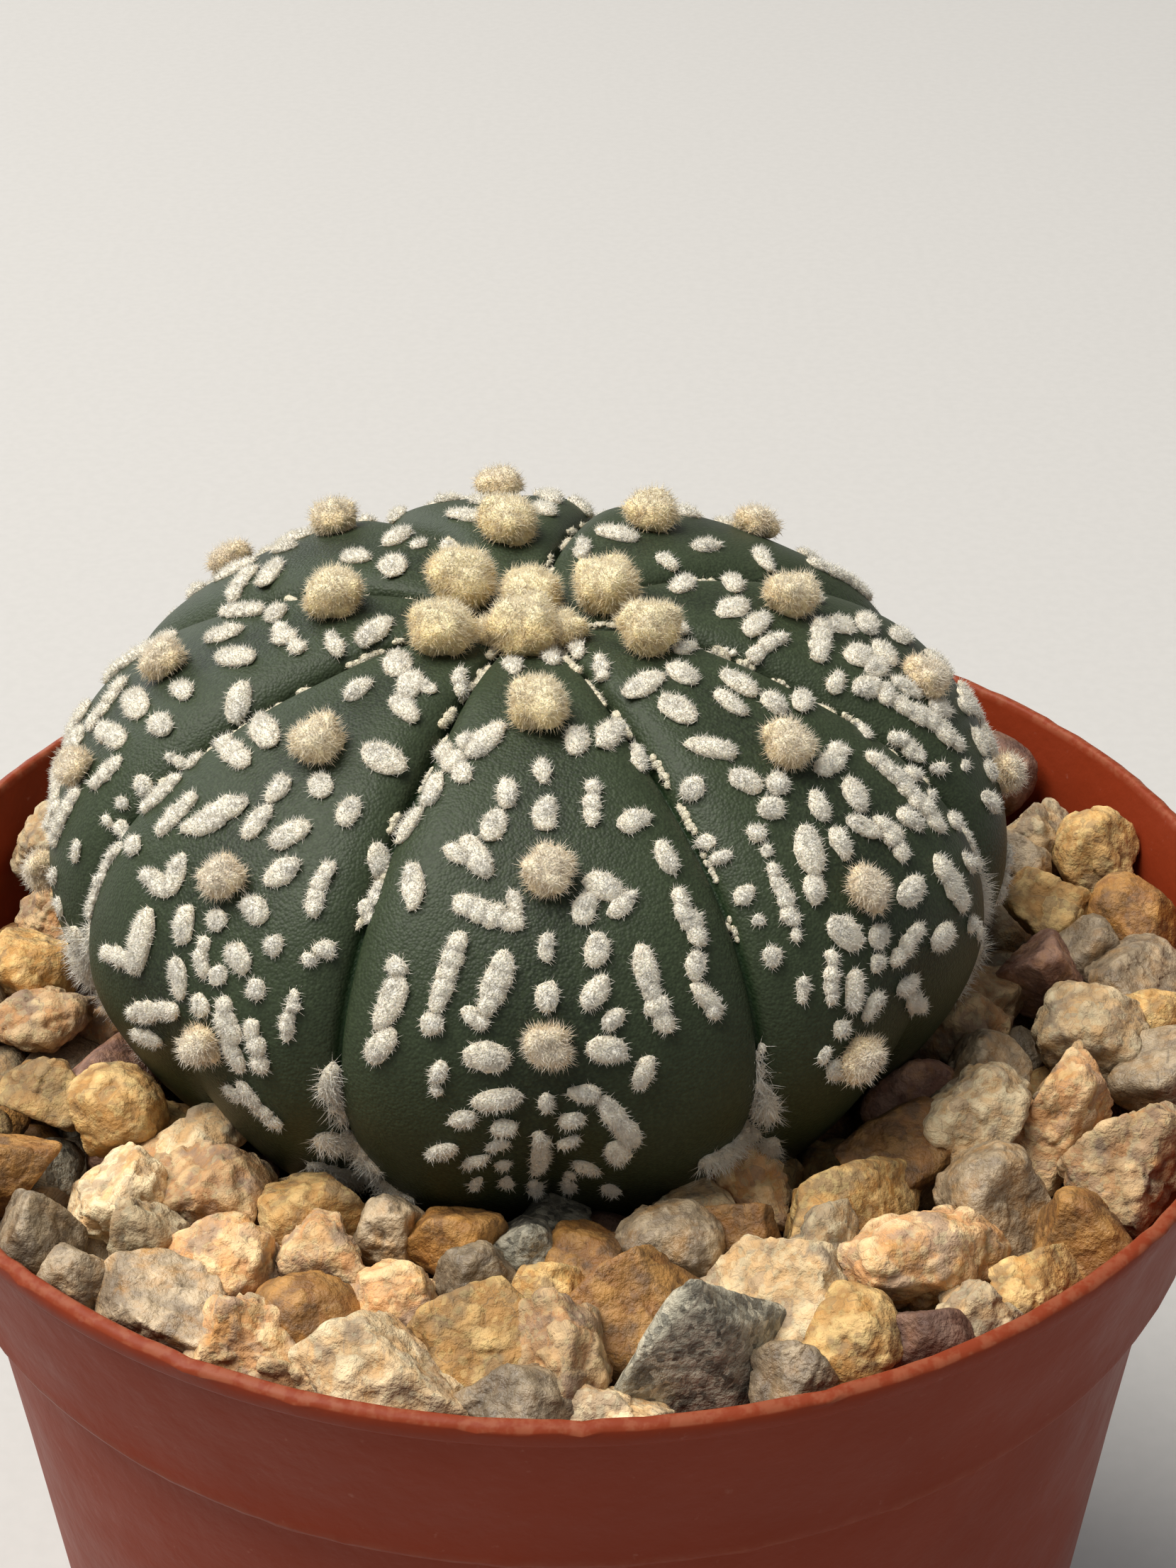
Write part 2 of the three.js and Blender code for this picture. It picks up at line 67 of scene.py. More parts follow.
class Sketch:
    """Adds nodes to a tree and joins their sockets."""

    def __init__(self, tree: bpy.types.NodeTree) -> None:
        """Starts work on the tree that the nodes go into."""
        self.tree = tree

    def add(self, kind: str, inputs: dict[str | int, Any] | None = None, **settings: Any) -> Node:
        """Adds a node.

        Args:
            kind: the node's type name.
            inputs: values, fields or nodes for the inputs, by name or number.
            **settings: the node's own properties.

        Returns:
            The new node.
        """
        node = self.tree.nodes.new(kind)
        for name, value in settings.items():
            setattr(node, name, value)
        for name, value in (inputs or {}).items():
            self.feed(self.socket(node.inputs, name), value)
        return node

    @staticmethod
    def socket(sockets: Any, name: str | int) -> Socket:
        """Finds a socket in use.

        Args:
            sockets: a node's inputs or outputs.
            name: the socket's name or number.

        Returns:
            The socket.
        """
        if isinstance(name, int):
            return sockets[name]
        return next(one for one in sockets if one.name == name and one.enabled)

    def feed(self, place: Socket, value: Any) -> None:
        """Sets or joins an input.

        Args:
            place: the input.
            value: a plain value, or a field, socket or node to join to it.
        """
        if isinstance(value, Field):
            value = value.socket
        if isinstance(value, Node):
            value = next(one for one in value.outputs if one.enabled)
        if isinstance(value, Socket):
            self.tree.links.new(value, place)
        else:
            place.default_value = value

    def out(self, node: Node, name: str | int = 0) -> "Field":
        """A node's output as a field."""
        return Field(self, self.socket(node.outputs, name))

    def vector(self, operation: str, *values: Any) -> Node:
        """A Vector Math node.

        Args:
            operation: its operation.
            *values: its inputs in order; a plain number goes to the Scale input.

        Returns:
            The node.
        """
        node = self.add("ShaderNodeVectorMath", operation=operation)
        for place, value in enumerate(values):
            scale = operation == "SCALE" and place == 1
            self.feed(node.inputs["Scale"] if scale else node.inputs[place], value)
        return node

    def axes(self, value: Any) -> tuple["Field", "Field", "Field"]:
        """The three numbers of a vector, as fields."""
        node = self.add("ShaderNodeSeparateXYZ", {0: value})
        return self.out(node, 0), self.out(node, 1), self.out(node, 2)

    def blend(self, share: Any, first: Any, second: Any) -> Socket:
        """Mixes two colours.

        Args:
            share: how much of the second colour, 0 to 1.
            first: a colour or a socket.
            second: a colour or a socket.

        Returns:
            The mixed colour's socket.
        """
        node = self.add("ShaderNodeMix", data_type="RGBA")
        self.feed(node.inputs[0], share)
        for place, value in ((6, first), (7, second)):
            self.feed(node.inputs[place], (*value, 1) if isinstance(value, tuple) else value)
        return node.outputs[2]


def operator(operation: str, swapped: bool = False) -> Callable[["Field", "Number"], "Field"]:
    """An operator for fields, as a Math node on its two numbers.

    Args:
        operation: the node's operation.
        swapped: whether the field is the second number.

    Returns:
        The method.
    """

    def method(self: "Field", other: "Number") -> "Field":
        """Joins the two numbers by the node."""
        return joined(operation, other, self) if swapped else joined(operation, self, other)

    return method


class Field:
    """A number that varies over a shape, worked on by Math nodes through Python's operators."""

    def __init__(self, sketch: Sketch, socket: Socket) -> None:
        """Wraps the output that gives the number, with the tree that it is in."""
        self.sketch = sketch
        self.socket = socket

    __add__ = __radd__ = operator("ADD")
    __sub__ = operator("SUBTRACT")
    __rsub__ = operator("SUBTRACT", swapped=True)
    __mul__ = __rmul__ = operator("MULTIPLY")
    __truediv__ = operator("DIVIDE")
    __rtruediv__ = operator("DIVIDE", swapped=True)
    __pow__ = operator("POWER")

    def __neg__(self) -> "Field":
        """The opposite number."""
        return self * -1.0


Number = float | np.ndarray | Field


def joined(operation: str, *values: Number) -> Field:
    """A Math node on numbers of which at least one is a field.

    Args:
        operation: the node's operation.
        *values: its inputs in order.

    Returns:
        Its result.
    """
    sketch = next(value.sketch for value in values if isinstance(value, Field))
    node = sketch.add("ShaderNodeMath", dict(enumerate(values)), operation=operation)
    return Field(sketch, node.outputs[0])


def either(operation: str, plain: Callable[..., Any]) -> Callable[..., Number]:
    """A function that works on fields by a Math node and on plain numbers by numpy.

    Args:
        operation: the Math node's operation.
        plain: the numpy function.

    Returns:
        The function.
    """

    def work(*values: Number) -> Number:
        """Does the operation on fields or on plain numbers."""
        if any(isinstance(value, Field) for value in values):
            return joined(operation, *values)
        return plain(*values)

    return work


sine = either("SINE", np.sin)
cosine = either("COSINE", np.cos)
exponent = either("EXPONENT", np.exp)
root = either("SQRT", np.sqrt)
size_of = either("ABSOLUTE", np.abs)
least = either("MINIMUM", np.minimum)
most = either("MAXIMUM", np.maximum)
fraction = either("FRACT", lambda value: value - np.floor(value))


def mix(first: Number, second: Number, share: Number) -> Number:
    """The number that lies the given share of the way from the first to the second."""
    return first + (second - first) * share


def ease(low: float, high: float, value: Number) -> Number:
    """A smooth step of a value, from 0 where it is low to 1 where it is high."""
    share = least(most((value - low) / (high - low), 0.0), 1.0)
    return share * share * (3.0 - share * 2.0)


class Grower(Sketch):
    """A Geometry Nodes tree with named sizes, run once on a carrier to make a plain mesh."""

    def __init__(self, name: str, sizes: dict[str, float | int]) -> None:
        """Makes the tree and its inputs.

        Args:
            name: the tree's name.
            sizes: its named inputs with their values.
        """
        super().__init__(bpy.data.node_groups.new(name, "GeometryNodeTree"))
        face = self.tree.interface
        face.new_socket("Geometry", in_out="OUTPUT", socket_type="NodeSocketGeometry")
        face.new_socket("Geometry", in_out="INPUT", socket_type="NodeSocketGeometry")
        for label, value in sizes.items():
            kind = "NodeSocketInt" if isinstance(value, int) else "NodeSocketFloat"
            face.new_socket(label, in_out="INPUT", socket_type=kind)
        self.sizes = sizes
        self.source = self.add("NodeGroupInput")

    def size(self, label: str) -> Field:
        """A named input as a field."""
        return Field(self, self.source.outputs[label])

    def stored(self, label: str, kind: str = "FLOAT") -> Node:
        """The node that reads the attribute of this name and data type."""
        return self.add("GeometryNodeInputNamedAttribute", {"Name": label}, data_type=kind)

    def store(self, geometry: Any, label: str, value: Any, kind: str = "FLOAT") -> Node:
        """The node that stores a field on a geometry's points, under this name and as this data type."""
        inputs = {"Geometry": geometry, "Name": label, "Value": value}
        return self.add("GeometryNodeStoreNamedAttribute", inputs, data_type=kind, domain="POINT")

    def random(self, kind: str, low: Any, high: Any, seed: Any, which: Any) -> Node:
        """A seeded random value for each element.

        Args:
            kind: its data type.
            low: its least value.
            high: its greatest value.
            seed: the seed.
            which: what tells elements apart, or None for their own numbers.

        Returns:
            The node.
        """
        inputs = {"Min": low, "Max": high, "Seed": seed}
        if which is not None:
            inputs["ID"] = which
        return self.add("FunctionNodeRandomValue", inputs, data_type=kind)

    def chance(self, low: float, high: float, seed: Any, which: Any = None) -> Field:
        """A seeded random number for each element, or for each value of which."""
        return self.out(self.random("FLOAT", low, high, seed, which), "Value")

    def chance_way(self, seed: Any, which: Any = None) -> Node:
        """A seeded random vector for each element or value of which, each of its numbers from -1 to 1."""
        return self.random("FLOAT_VECTOR", (-1, -1, -1), (1, 1, 1), seed, which)

    def turned_to(self, normal: Any, along: Any) -> Node:
        """The rotation that takes Z to a normal and X as near as can be to another direction."""
        inputs = {"Primary Axis": normal, "Secondary Axis": along}
        return self.add("FunctionNodeAxesToRotation", inputs, primary_axis="Z", secondary_axis="X")

    def copies(self, points: Any, shape: Any, rotation: Any, scale: Any) -> Node:
        """Puts a copy of a shape on each point and makes the copies real.

        Args:
            points: the points.
            shape: the shape that is copied.
            rotation: each copy's rotation.
            scale: each copy's scale.

        Returns:
            The node that makes the copies real.
        """
        inputs = {"Points": points, "Instance": shape, "Rotation": rotation, "Scale": scale}
        placed = self.add("GeometryNodeInstanceOnPoints", inputs)
        return self.add("GeometryNodeRealizeInstances", {"Geometry": placed})

    def fibres(self, skin: Any, seed: int) -> Node:
        """Hairs all over a skin: slim closed spikes that stand out of it and lean at random.

        The tree's sizes Fibre Density, Fibre Length, Fibre Radius and Fibre Lean set how they look. Fibre
        Underside is the least cosine to the attribute "outward" that has them, below 0 under the felt.

        Args:
            skin: the mesh that they grow on.
            seed: the seed of their places.

        Returns:
            The node that gives them, with the attribute "tip" from 0 at the root to 1.
        """
        normal = self.add("GeometryNodeInputNormal")
        facing = self.out(self.vector("DOT_PRODUCT", normal, self.stored("outward", "FLOAT_VECTOR")), "Value")
        inputs = {"A": facing, "B": self.size("Fibre Underside")}
        seen = self.add("FunctionNodeCompare", inputs, data_type="FLOAT", operation="GREATER_THAN")
        inputs = {"Mesh": skin, "Selection": seen, "Density": self.size("Fibre Density"), "Seed": seed}
        spread = self.add("GeometryNodeDistributePointsOnFaces", inputs, distribute_method="RANDOM")
        lean = self.vector("SCALE", self.chance_way(seed + 1), self.size("Fibre Lean"))
        way = self.vector("ADD", self.out(spread, "Normal"), lean)
        length = self.size("Fibre Length") * self.chance(0.45, 1.25, seed + 2)
        breadth = self.size("Fibre Radius") * self.chance(0.7, 1.3, seed + 3)
        spike = self.add(
            "GeometryNodeMeshCone",
            {"Vertices": 3, "Radius Top": 0.0, "Radius Bottom": 1.0, "Depth": 1.0},
            fill_type="NGON",
        )
        height = self.axes(self.add("GeometryNodeInputPosition"))[2]
        marked = self.store(self.out(spike, "Mesh"), "tip", height)
        scale = self.add("ShaderNodeCombineXYZ", {0: breadth, 1: breadth, 2: length})
        along = self.chance_way(seed + 4)
        hairs = self.copies(self.out(spread, "Points"), marked, self.turned_to(way, along), scale)
        return self.add("GeometryNodeSetShadeSmooth", {"Geometry": hairs, "Shade Smooth": False})

    def smooth(self, geometry: Any) -> Node:
        """Shades a mesh smooth."""
        return self.add("GeometryNodeSetShadeSmooth", {"Geometry": geometry})

    def close(self, geometry: Any, material: Material) -> None:
        """Ends the tree in Realize Instances and Set Material.

        Args:
            geometry: what the tree has made.
            material: the material that it gets.
        """
        real = self.add("GeometryNodeRealizeInstances", {"Geometry": geometry})
        dressed = self.add("GeometryNodeSetMaterial", {"Geometry": real, "Material": material})
        self.add("NodeGroupOutput", {0: dressed})

    def grow(self, name: str, carrier: bpy.types.Mesh) -> Piece:
        """Runs the tree and keeps its result as a plain mesh.

        Args:
            name: the new piece's name.
            carrier: the mesh that the tree starts from.

        Returns:
            The piece, without a modifier.
        """
        piece = new_piece(name, carrier)
        modifier = piece.modifiers.new("grow", "NODES")
        modifier.node_group = self.tree
        for item in self.tree.interface.items_tree:
            if item.in_out == "INPUT" and item.name in self.sizes:
                modifier[item.identifier] = self.sizes[item.name]
        freeze(piece, modifier)
        piece.data.name = name
        return piece


# ---- helpers


class SeededDraw:
    """Seeded random numbers from 0 to 1, drawn by the rule that laid out the solids."""

    WORD = 0xFFFFFFFF

    def __init__(self, seed: int) -> None:
        """Starts a row of numbers from a seed."""
        self.state = seed & self.WORD

    def __call__(self) -> float:
        """The next number."""
        self.state = (self.state + 0x6D2B79F5) & self.WORD
        value = self.state
        value = ((value ^ (value >> 15)) * (1 | value)) & self.WORD
        stirred = ((value ^ (value >> 7)) * (61 | value)) & self.WORD
        value = ((value + stirred) & self.WORD) ^ value
        return (value ^ (value >> 14)) / (self.WORD + 1)


@dataclass(frozen=True)
class Chance:
    """A range of values for random draws: its least value and how far it goes above that."""

    least: float
    extent: float

    def __call__(self, draw: SeededDraw) -> float:
        """A value drawn from the range."""
        return self.least + self.extent * draw()


def new_piece(name: str, mesh: bpy.types.Mesh) -> Piece:
    """Links a new object to the scene, at the origin."""
    piece = bpy.data.objects.new(name, mesh)
    bpy.context.scene.collection.objects.link(piece)
    return piece


def freeze(piece: Piece, modifier: bpy.types.Modifier) -> None:
    """Gives a piece what its modifier makes as a plain mesh, and removes the modifier."""
    graph = bpy.context.evaluated_depsgraph_get()
    made = piece.evaluated_get(graph)
    mesh = bpy.data.meshes.new_from_object(made, preserve_all_data_layers=True, depsgraph=graph)
    piece.modifiers.remove(modifier)
    piece.data = mesh


def point_carrier(name: str, places: np.ndarray, **values: np.ndarray) -> bpy.types.Mesh:
    """A mesh of loose points with attributes.

    Args:
        name: its name.
        places: the points, one in each row.
        **values: the attributes, each with one number or vector for each point.

    Returns:
        The mesh.
    """
    mesh = bpy.data.meshes.new(name)
    mesh.from_pydata(np.asarray(places).tolist(), [], [])
    for label, numbers in values.items():
        flat = np.asarray(numbers, np.int32 if numbers.dtype.kind == "i" else np.float32)
        kind = "FLOAT_VECTOR" if flat.ndim == 2 else "INT" if flat.dtype.kind == "i" else "FLOAT"
        layer = mesh.attributes.new(label, kind, "POINT")
        layer.data.foreach_set("vector" if flat.ndim == 2 else "value", flat.ravel())
    return mesh


def seat(piece: Piece, node: str) -> None:
    """Makes a piece part of the object, in the place of a solid.

    Args:
        piece: the finished piece.
        node: the solid that it stands for.
    """
    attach(piece, "root")
    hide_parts(node)
    piece.data.calc_loop_triangles()
    log.info("%s: %d triangles, for %s", piece.name, len(piece.data.loop_triangles), node)


# ---- finishes


def lit(colour: Colour, share: float, ceiling: float = 1.0) -> Colour:
    """A colour with each of its numbers multiplied by share, up to a ceiling."""
    return tuple(min(share * part, ceiling) for part in colour)


@dataclass(frozen=True)
class Finish:
    """A surface finish: its name and what is the same all over it."""

    name: str
    roughness: float = 0.6
    specular: float = 0.5

    def start(self) -> tuple[Sketch, Node, Material]:
        """Makes the material with its Principled shader.

        Returns:
            The sketch of its tree, the shader node and the material.
        """
        material = bpy.data.materials.new(self.name)
        material.use_nodes = True
        sketch = Sketch(material.node_tree)
        shader = material.node_tree.nodes["Principled BSDF"]
        shader.inputs["Roughness"].default_value = self.roughness
        shader.inputs["Specular IOR Level"].default_value = self.specular
        return sketch, shader, material

    @staticmethod
    def marks(sketch: Sketch, *labels: str) -> list[Field]:
        """The piece's attributes of these names, as fields."""
        nodes = [sketch.add("ShaderNodeAttribute", attribute_name=label) for label in labels]
        return [sketch.out(node, "Fac") for node in nodes]

    @staticmethod
    def place(sketch: Sketch) -> Socket:
        """Object coordinates, in metres."""
        return sketch.add("ShaderNodeTexCoord").outputs["Object"]

    @staticmethod
    def cells(sketch: Sketch, place: Any, grain: float, feature: str = "F1") -> Node:
        """The texture node of a pattern of cells of this size, at the coordinates given."""
        return sketch.add("ShaderNodeTexVoronoi", {"Vector": place, "Scale": 1 / grain}, feature=feature)

    @staticmethod
    def cloud(
        sketch: Sketch,
        grain: float,
        detail: float = 2.0,
        rough: float = 0.5,
        low: float = 0.3,
        high: float = 0.7,
    ) -> Field:
        """A noise over the surface, stretched to run from 0 to 1.

        Args:
            sketch: the material's tree.
            grain: the size of its lumps, in metres.
            detail: how many finer layers it has.
            rough: how strong those are.
            low: the noise value that becomes 0.
            high: the noise value that becomes 1.

        Returns:
            The noise.
        """
        inputs = {"Vector": Finish.place(sketch), "Scale": 1 / grain, "Detail": detail, "Roughness": rough}
        return ease(low, high, sketch.out(sketch.add("ShaderNodeTexNoise", inputs), "Fac"))

    @staticmethod
    def bump(
        sketch: Sketch, shader: Node, height: Any, depth: float, strength: float = 1.0
    ) -> None:
        """Gives the shader a bump; depth is what height 1 stands for, in metres."""
        node = sketch.add("ShaderNodeBump", {"Height": height, "Distance": depth, "Strength": strength})
        sketch.feed(shader.inputs["Normal"], node)


@dataclass(frozen=True)
class SkinFinish(Finish):
    """The globe's waxy skin: dark grey-green, paler at the margins, with speckles and a fine pebble grain."""

    middle: Colour = (0.015, 0.021, 0.011)
    margin: Colour = (0.026, 0.036, 0.018)
    foot: Colour = (0.024, 0.030, 0.010)
    groove: Colour = (0.012, 0.030, 0.010)
    patch_size: float = 5 * MM
    speckle_size: float = 0.22 * MM
    speckle_light: float = 2.2
    speckled: float = 0.34
    pebble_size: float = 0.18 * MM
    pebble_depth: float = 0.05 * MM
    ripple_size: float = 0.9 * MM

    def material(self) -> Material:
        """Builds the material; it reads the attributes "aside" and "down" of the globe."""
        sketch, shader, material = self.start()
        aside, down = self.marks(sketch, "aside", "down")
        patches = self.cloud(sketch, self.patch_size, 3.0)
        tone = sketch.blend(ease(0.05, 0.75, aside + patches * 0.3), self.middle, self.margin)
        tone = sketch.blend(ease(0.75, 1.0, down + patches * 0.08), tone, self.foot)
        tone = sketch.blend(ease(0.965, 0.995, aside), tone, self.groove)
        speckle = self.cloud(sketch, self.speckle_size, 1.0, 0.5, 0.35, 0.75)
        tone = sketch.blend(speckle * self.speckled, tone, lit(self.margin, self.speckle_light))
        sketch.feed(shader.inputs["Base Color"], tone)
        pebbles = self.cells(sketch, self.place(sketch), self.pebble_size)
        rounded = 1.0 - sketch.out(pebbles, "Distance")
        height = rounded + self.cloud(sketch, self.ripple_size) * 0.2
        self.bump(sketch, shader, height, self.pebble_depth, 0.8)
        return material


@dataclass(frozen=True)
class WoolFinish(Finish):
    """Wool: a root colour that pales to the hair tips and, as a painted highlight, to the outer side of each
    ball; duller with age; with painted golden shade on the side of each ball towards the skin.
    """

    heart: Colour = (0.88, 0.79, 0.63)
    tip: Colour = (0.95, 0.91, 0.79)
    old_heart: Colour = (0.74, 0.64, 0.44)
    old_tip: Colour = (0.86, 0.78, 0.58)
    # The stain colour is painted shade: the golden shade under each ball, laid on its skin side.
    stain: Colour = (0.72, 0.60, 0.40)
    stained: float = 0.3
    glow: float = 0.3
    glow_depth: float = 0.3 * MM
    glow_reach: Colour = (1.0, 0.85, 0.6)
    mottle_size: float = 0.5 * MM
    fuzz_size: float = 0.12 * MM
    fuzz_depth: float = 0.1 * MM

    def material(self) -> Material:
        """Builds the material; it reads the wool's attributes "tip", "high" and "age"."""
        sketch, shader, material = self.start()
        tip, high, age = self.marks(sketch, "tip", "high", "age")
        # Paler towards the hair tips, and towards the outer side of each ball (the attribute high) as a
        # painted highlight.
        along = ease(0.0, 0.8, tip * 0.7 + ease(0.35, 1.0, high) * 0.45)
        young = sketch.blend(along, self.heart, self.tip)
        tone = sketch.blend(age, young, sketch.blend(along, self.old_heart, self.old_tip))
        mottle = self.cloud(sketch, self.mottle_size)
        # Painted shade: the skin side of each ball takes the stain colour, mottled.
        low = (1.0 - high) * self.stained * (mottle * 0.8 + 0.4)
        tone = sketch.blend(least(low, 1.0), tone, self.stain)
        sketch.feed(shader.inputs["Base Color"], tone)
        shader.inputs["Subsurface Weight"].default_value = self.glow
        shader.inputs["Subsurface Radius"].default_value = self.glow_reach
        shader.inputs["Subsurface Scale"].default_value = self.glow_depth
        self.bump(sketch, shader, self.cloud(sketch, self.fuzz_size, 3.0), self.fuzz_depth)
        return material


@dataclass(frozen=True)
class StoneFinish(Finish):
    """Broken granite: crystals of three colours, dull patches, rusty stains and fine grains all over."""

    ground: Colour = (0.74, 0.42, 0.21)
    crystal: Colour = (0.96, 0.69, 0.40)
    second: Colour = (0.46, 0.32, 0.22)
    # On stone this colour is rusty stain only; no shade is painted with it.
    stain: Colour = (0.62, 0.32, 0.10)
    stained: float = 0.5
    speckled: float = 0.2
    knobbly: float = 1.0
    veil_size: float = 1.7 * MM
    patch_size: float = 2.8 * MM
    rust_size: float = 1.9 * MM
    grain_size: float = 0.34 * MM
    knob_size: float = 0.8 * MM
    knob_depth: float = 0.2 * MM
    wander_size: float = 0.9 * MM
    wander: float = 0.6 * MM
    pit_size: float = 0.35 * MM

    def material(self) -> Material:
        """Builds the material; it reads the stones' attributes "tone", "crystal" and "seam"."""
        sketch, shader, material = self.start()
        own, cell, seam = self.marks(sketch, "tone", "crystal", "seam")
        veil = self.cloud(sketch, self.veil_size, 4.0, 0.6)
        tone = sketch.blend(ease(0.3, 0.8, cell * 0.7 + veil * 0.3), self.ground, self.crystal)
        tone = sketch.blend(ease(0.72, 0.8, fraction(cell * 7.3 + own)) * 0.6, tone, self.second)
        patch = self.cloud(sketch, self.patch_size, 3.0, 0.5, 0.54, 0.62)
        tone = sketch.blend(patch * 0.85, tone, self.second)
        rusty = self.cloud(sketch, self.rust_size, 4.0, 0.65, 0.45, 0.7)
        tone = sketch.blend(rusty * self.stained * (own * 0.8 + 0.5), tone, self.stain)
        grains = self.cells(sketch, self.place(sketch), self.grain_size)
        pale, dark, _ = sketch.axes(sketch.out(grains, "Color"))
        tone = sketch.blend(ease(0.7, 0.8, pale) * self.speckled, tone, lit(self.crystal, 1.3, 0.92))
        tone = sketch.blend(ease(0.78, 0.86, dark) * self.speckled, tone, lit(self.second, 0.5))
        inputs = {"Value": own * 0.4 + 0.6 - seam * 0.34, "Color": tone, "Saturation": 1.08}
        sketch.feed(shader.inputs["Base Color"], sketch.add("ShaderNodeHueSaturation", inputs))
        inputs = {"Vector": self.place(sketch), "Scale": 1 / self.wander_size}
        drift = sketch.out(sketch.add("ShaderNodeTexNoise", inputs), "Color")
        place = sketch.vector("ADD", self.place(sketch), sketch.vector("SCALE", drift, self.wander))
        knobs = self.cells(sketch, place, self.knob_size, "SMOOTH_F1")
        pits = self.cloud(sketch, self.pit_size, 3.0, 0.6)
        height = (1.0 - sketch.out(knobs, "Distance")) * self.knobbly + pits * 0.3
        self.bump(sketch, shader, height, self.knob_depth)
        return material


@dataclass(frozen=True)
class PlasticFinish(Finish):
    """Moulded plastic: dark red-brown, with a ragged painted highlight along the lip, scuffs and a slight
    ripple.
    """

    body: Colour = (0.180, 0.024, 0.007)
    # The lip colour is a painted highlight: a lighter red laid in ragged patches on the rim, and faintly on
    # the collar step's edge.
    lip: Colour = (0.24, 0.064, 0.030)
    scuff: Colour = (0.36, 0.16, 0.12)
    blotch_size: float = 14 * MM
    blotch_light: float = 1.35
    scuff_size: float = 0.8 * MM
    highlight_patch_size: float = 1.0 * MM
    dull_size: float = 6 * MM
    ripple_size: float = 1.1 * MM
    ripple_depth: float = 0.02 * MM

    def material(self) -> Material:
        """Builds the material; it reads the pot's attribute "lip"."""
        sketch, shader, material = self.start()
        (lip,) = self.marks(sketch, "lip")
        blotch = self.cloud(sketch, self.blotch_size, 3.0)
        tone = sketch.blend(blotch * 0.25, self.body, lit(self.body, self.blotch_light))
        scuffs = self.cloud(sketch, self.scuff_size, 3.0, 0.6, 0.66, 0.8)
        tone = sketch.blend(scuffs * 0.3, tone, self.scuff)
        # Painted highlight: the lip colour in ragged patches where the lip attribute marks the rim and the
        # collar step's edge.
        highlight_patches = self.cloud(sketch, self.highlight_patch_size, 3.0, 0.6, 0.42, 0.6)
        tone = sketch.blend(lip * (0.25 + highlight_patches * 0.75), tone, self.lip)
        sketch.feed(shader.inputs["Base Color"], tone)
        dull = self.cloud(sketch, self.dull_size, 4.0, 0.6)
        sketch.feed(shader.inputs["Roughness"], dull * 0.12 + self.roughness)
        height = self.cloud(sketch, self.ripple_size, 3.0) + blotch
        self.bump(sketch, shader, height, self.ripple_depth)
        return material


@dataclass(frozen=True)
class EarthFinish(Finish):
    """Dark potting soil with paler crumbs."""

    dark: Colour = (0.030, 0.020, 0.013)
    crumb: Colour = (0.11, 0.075, 0.045)
    crumb_size: float = 1.1 * MM
    clod_size: float = 0.6 * MM
    clod_depth: float = 0.4 * MM

    def material(self) -> Material:
        """Builds the material."""
        sketch, shader, material = self.start()
        tone = sketch.blend(self.cloud(sketch, self.crumb_size, 4.0), self.dark, self.crumb)
        sketch.feed(shader.inputs["Base Color"], tone)
        self.bump(sketch, shader, self.cloud(sketch, self.clod_size, 4.0), self.clod_depth)
        return material


@dataclass(frozen=True)
class PaperFinish(Finish):
    """A plain pale paper sweep with a faint weave."""

    colour: Colour = (0.45, 0.44, 0.425)
    weave_size: float = 1.4 * MM
    weave_shade: float = 0.97

    def material(self) -> Material:
        """Builds the material."""
        sketch, shader, material = self.start()
        weave = self.cloud(sketch, self.weave_size, 3.0)
        tone = sketch.blend(weave, self.colour, lit(self.colour, self.weave_shade))
        sketch.feed(shader.inputs["Base Color"], tone)
        return material


# ---- the globe


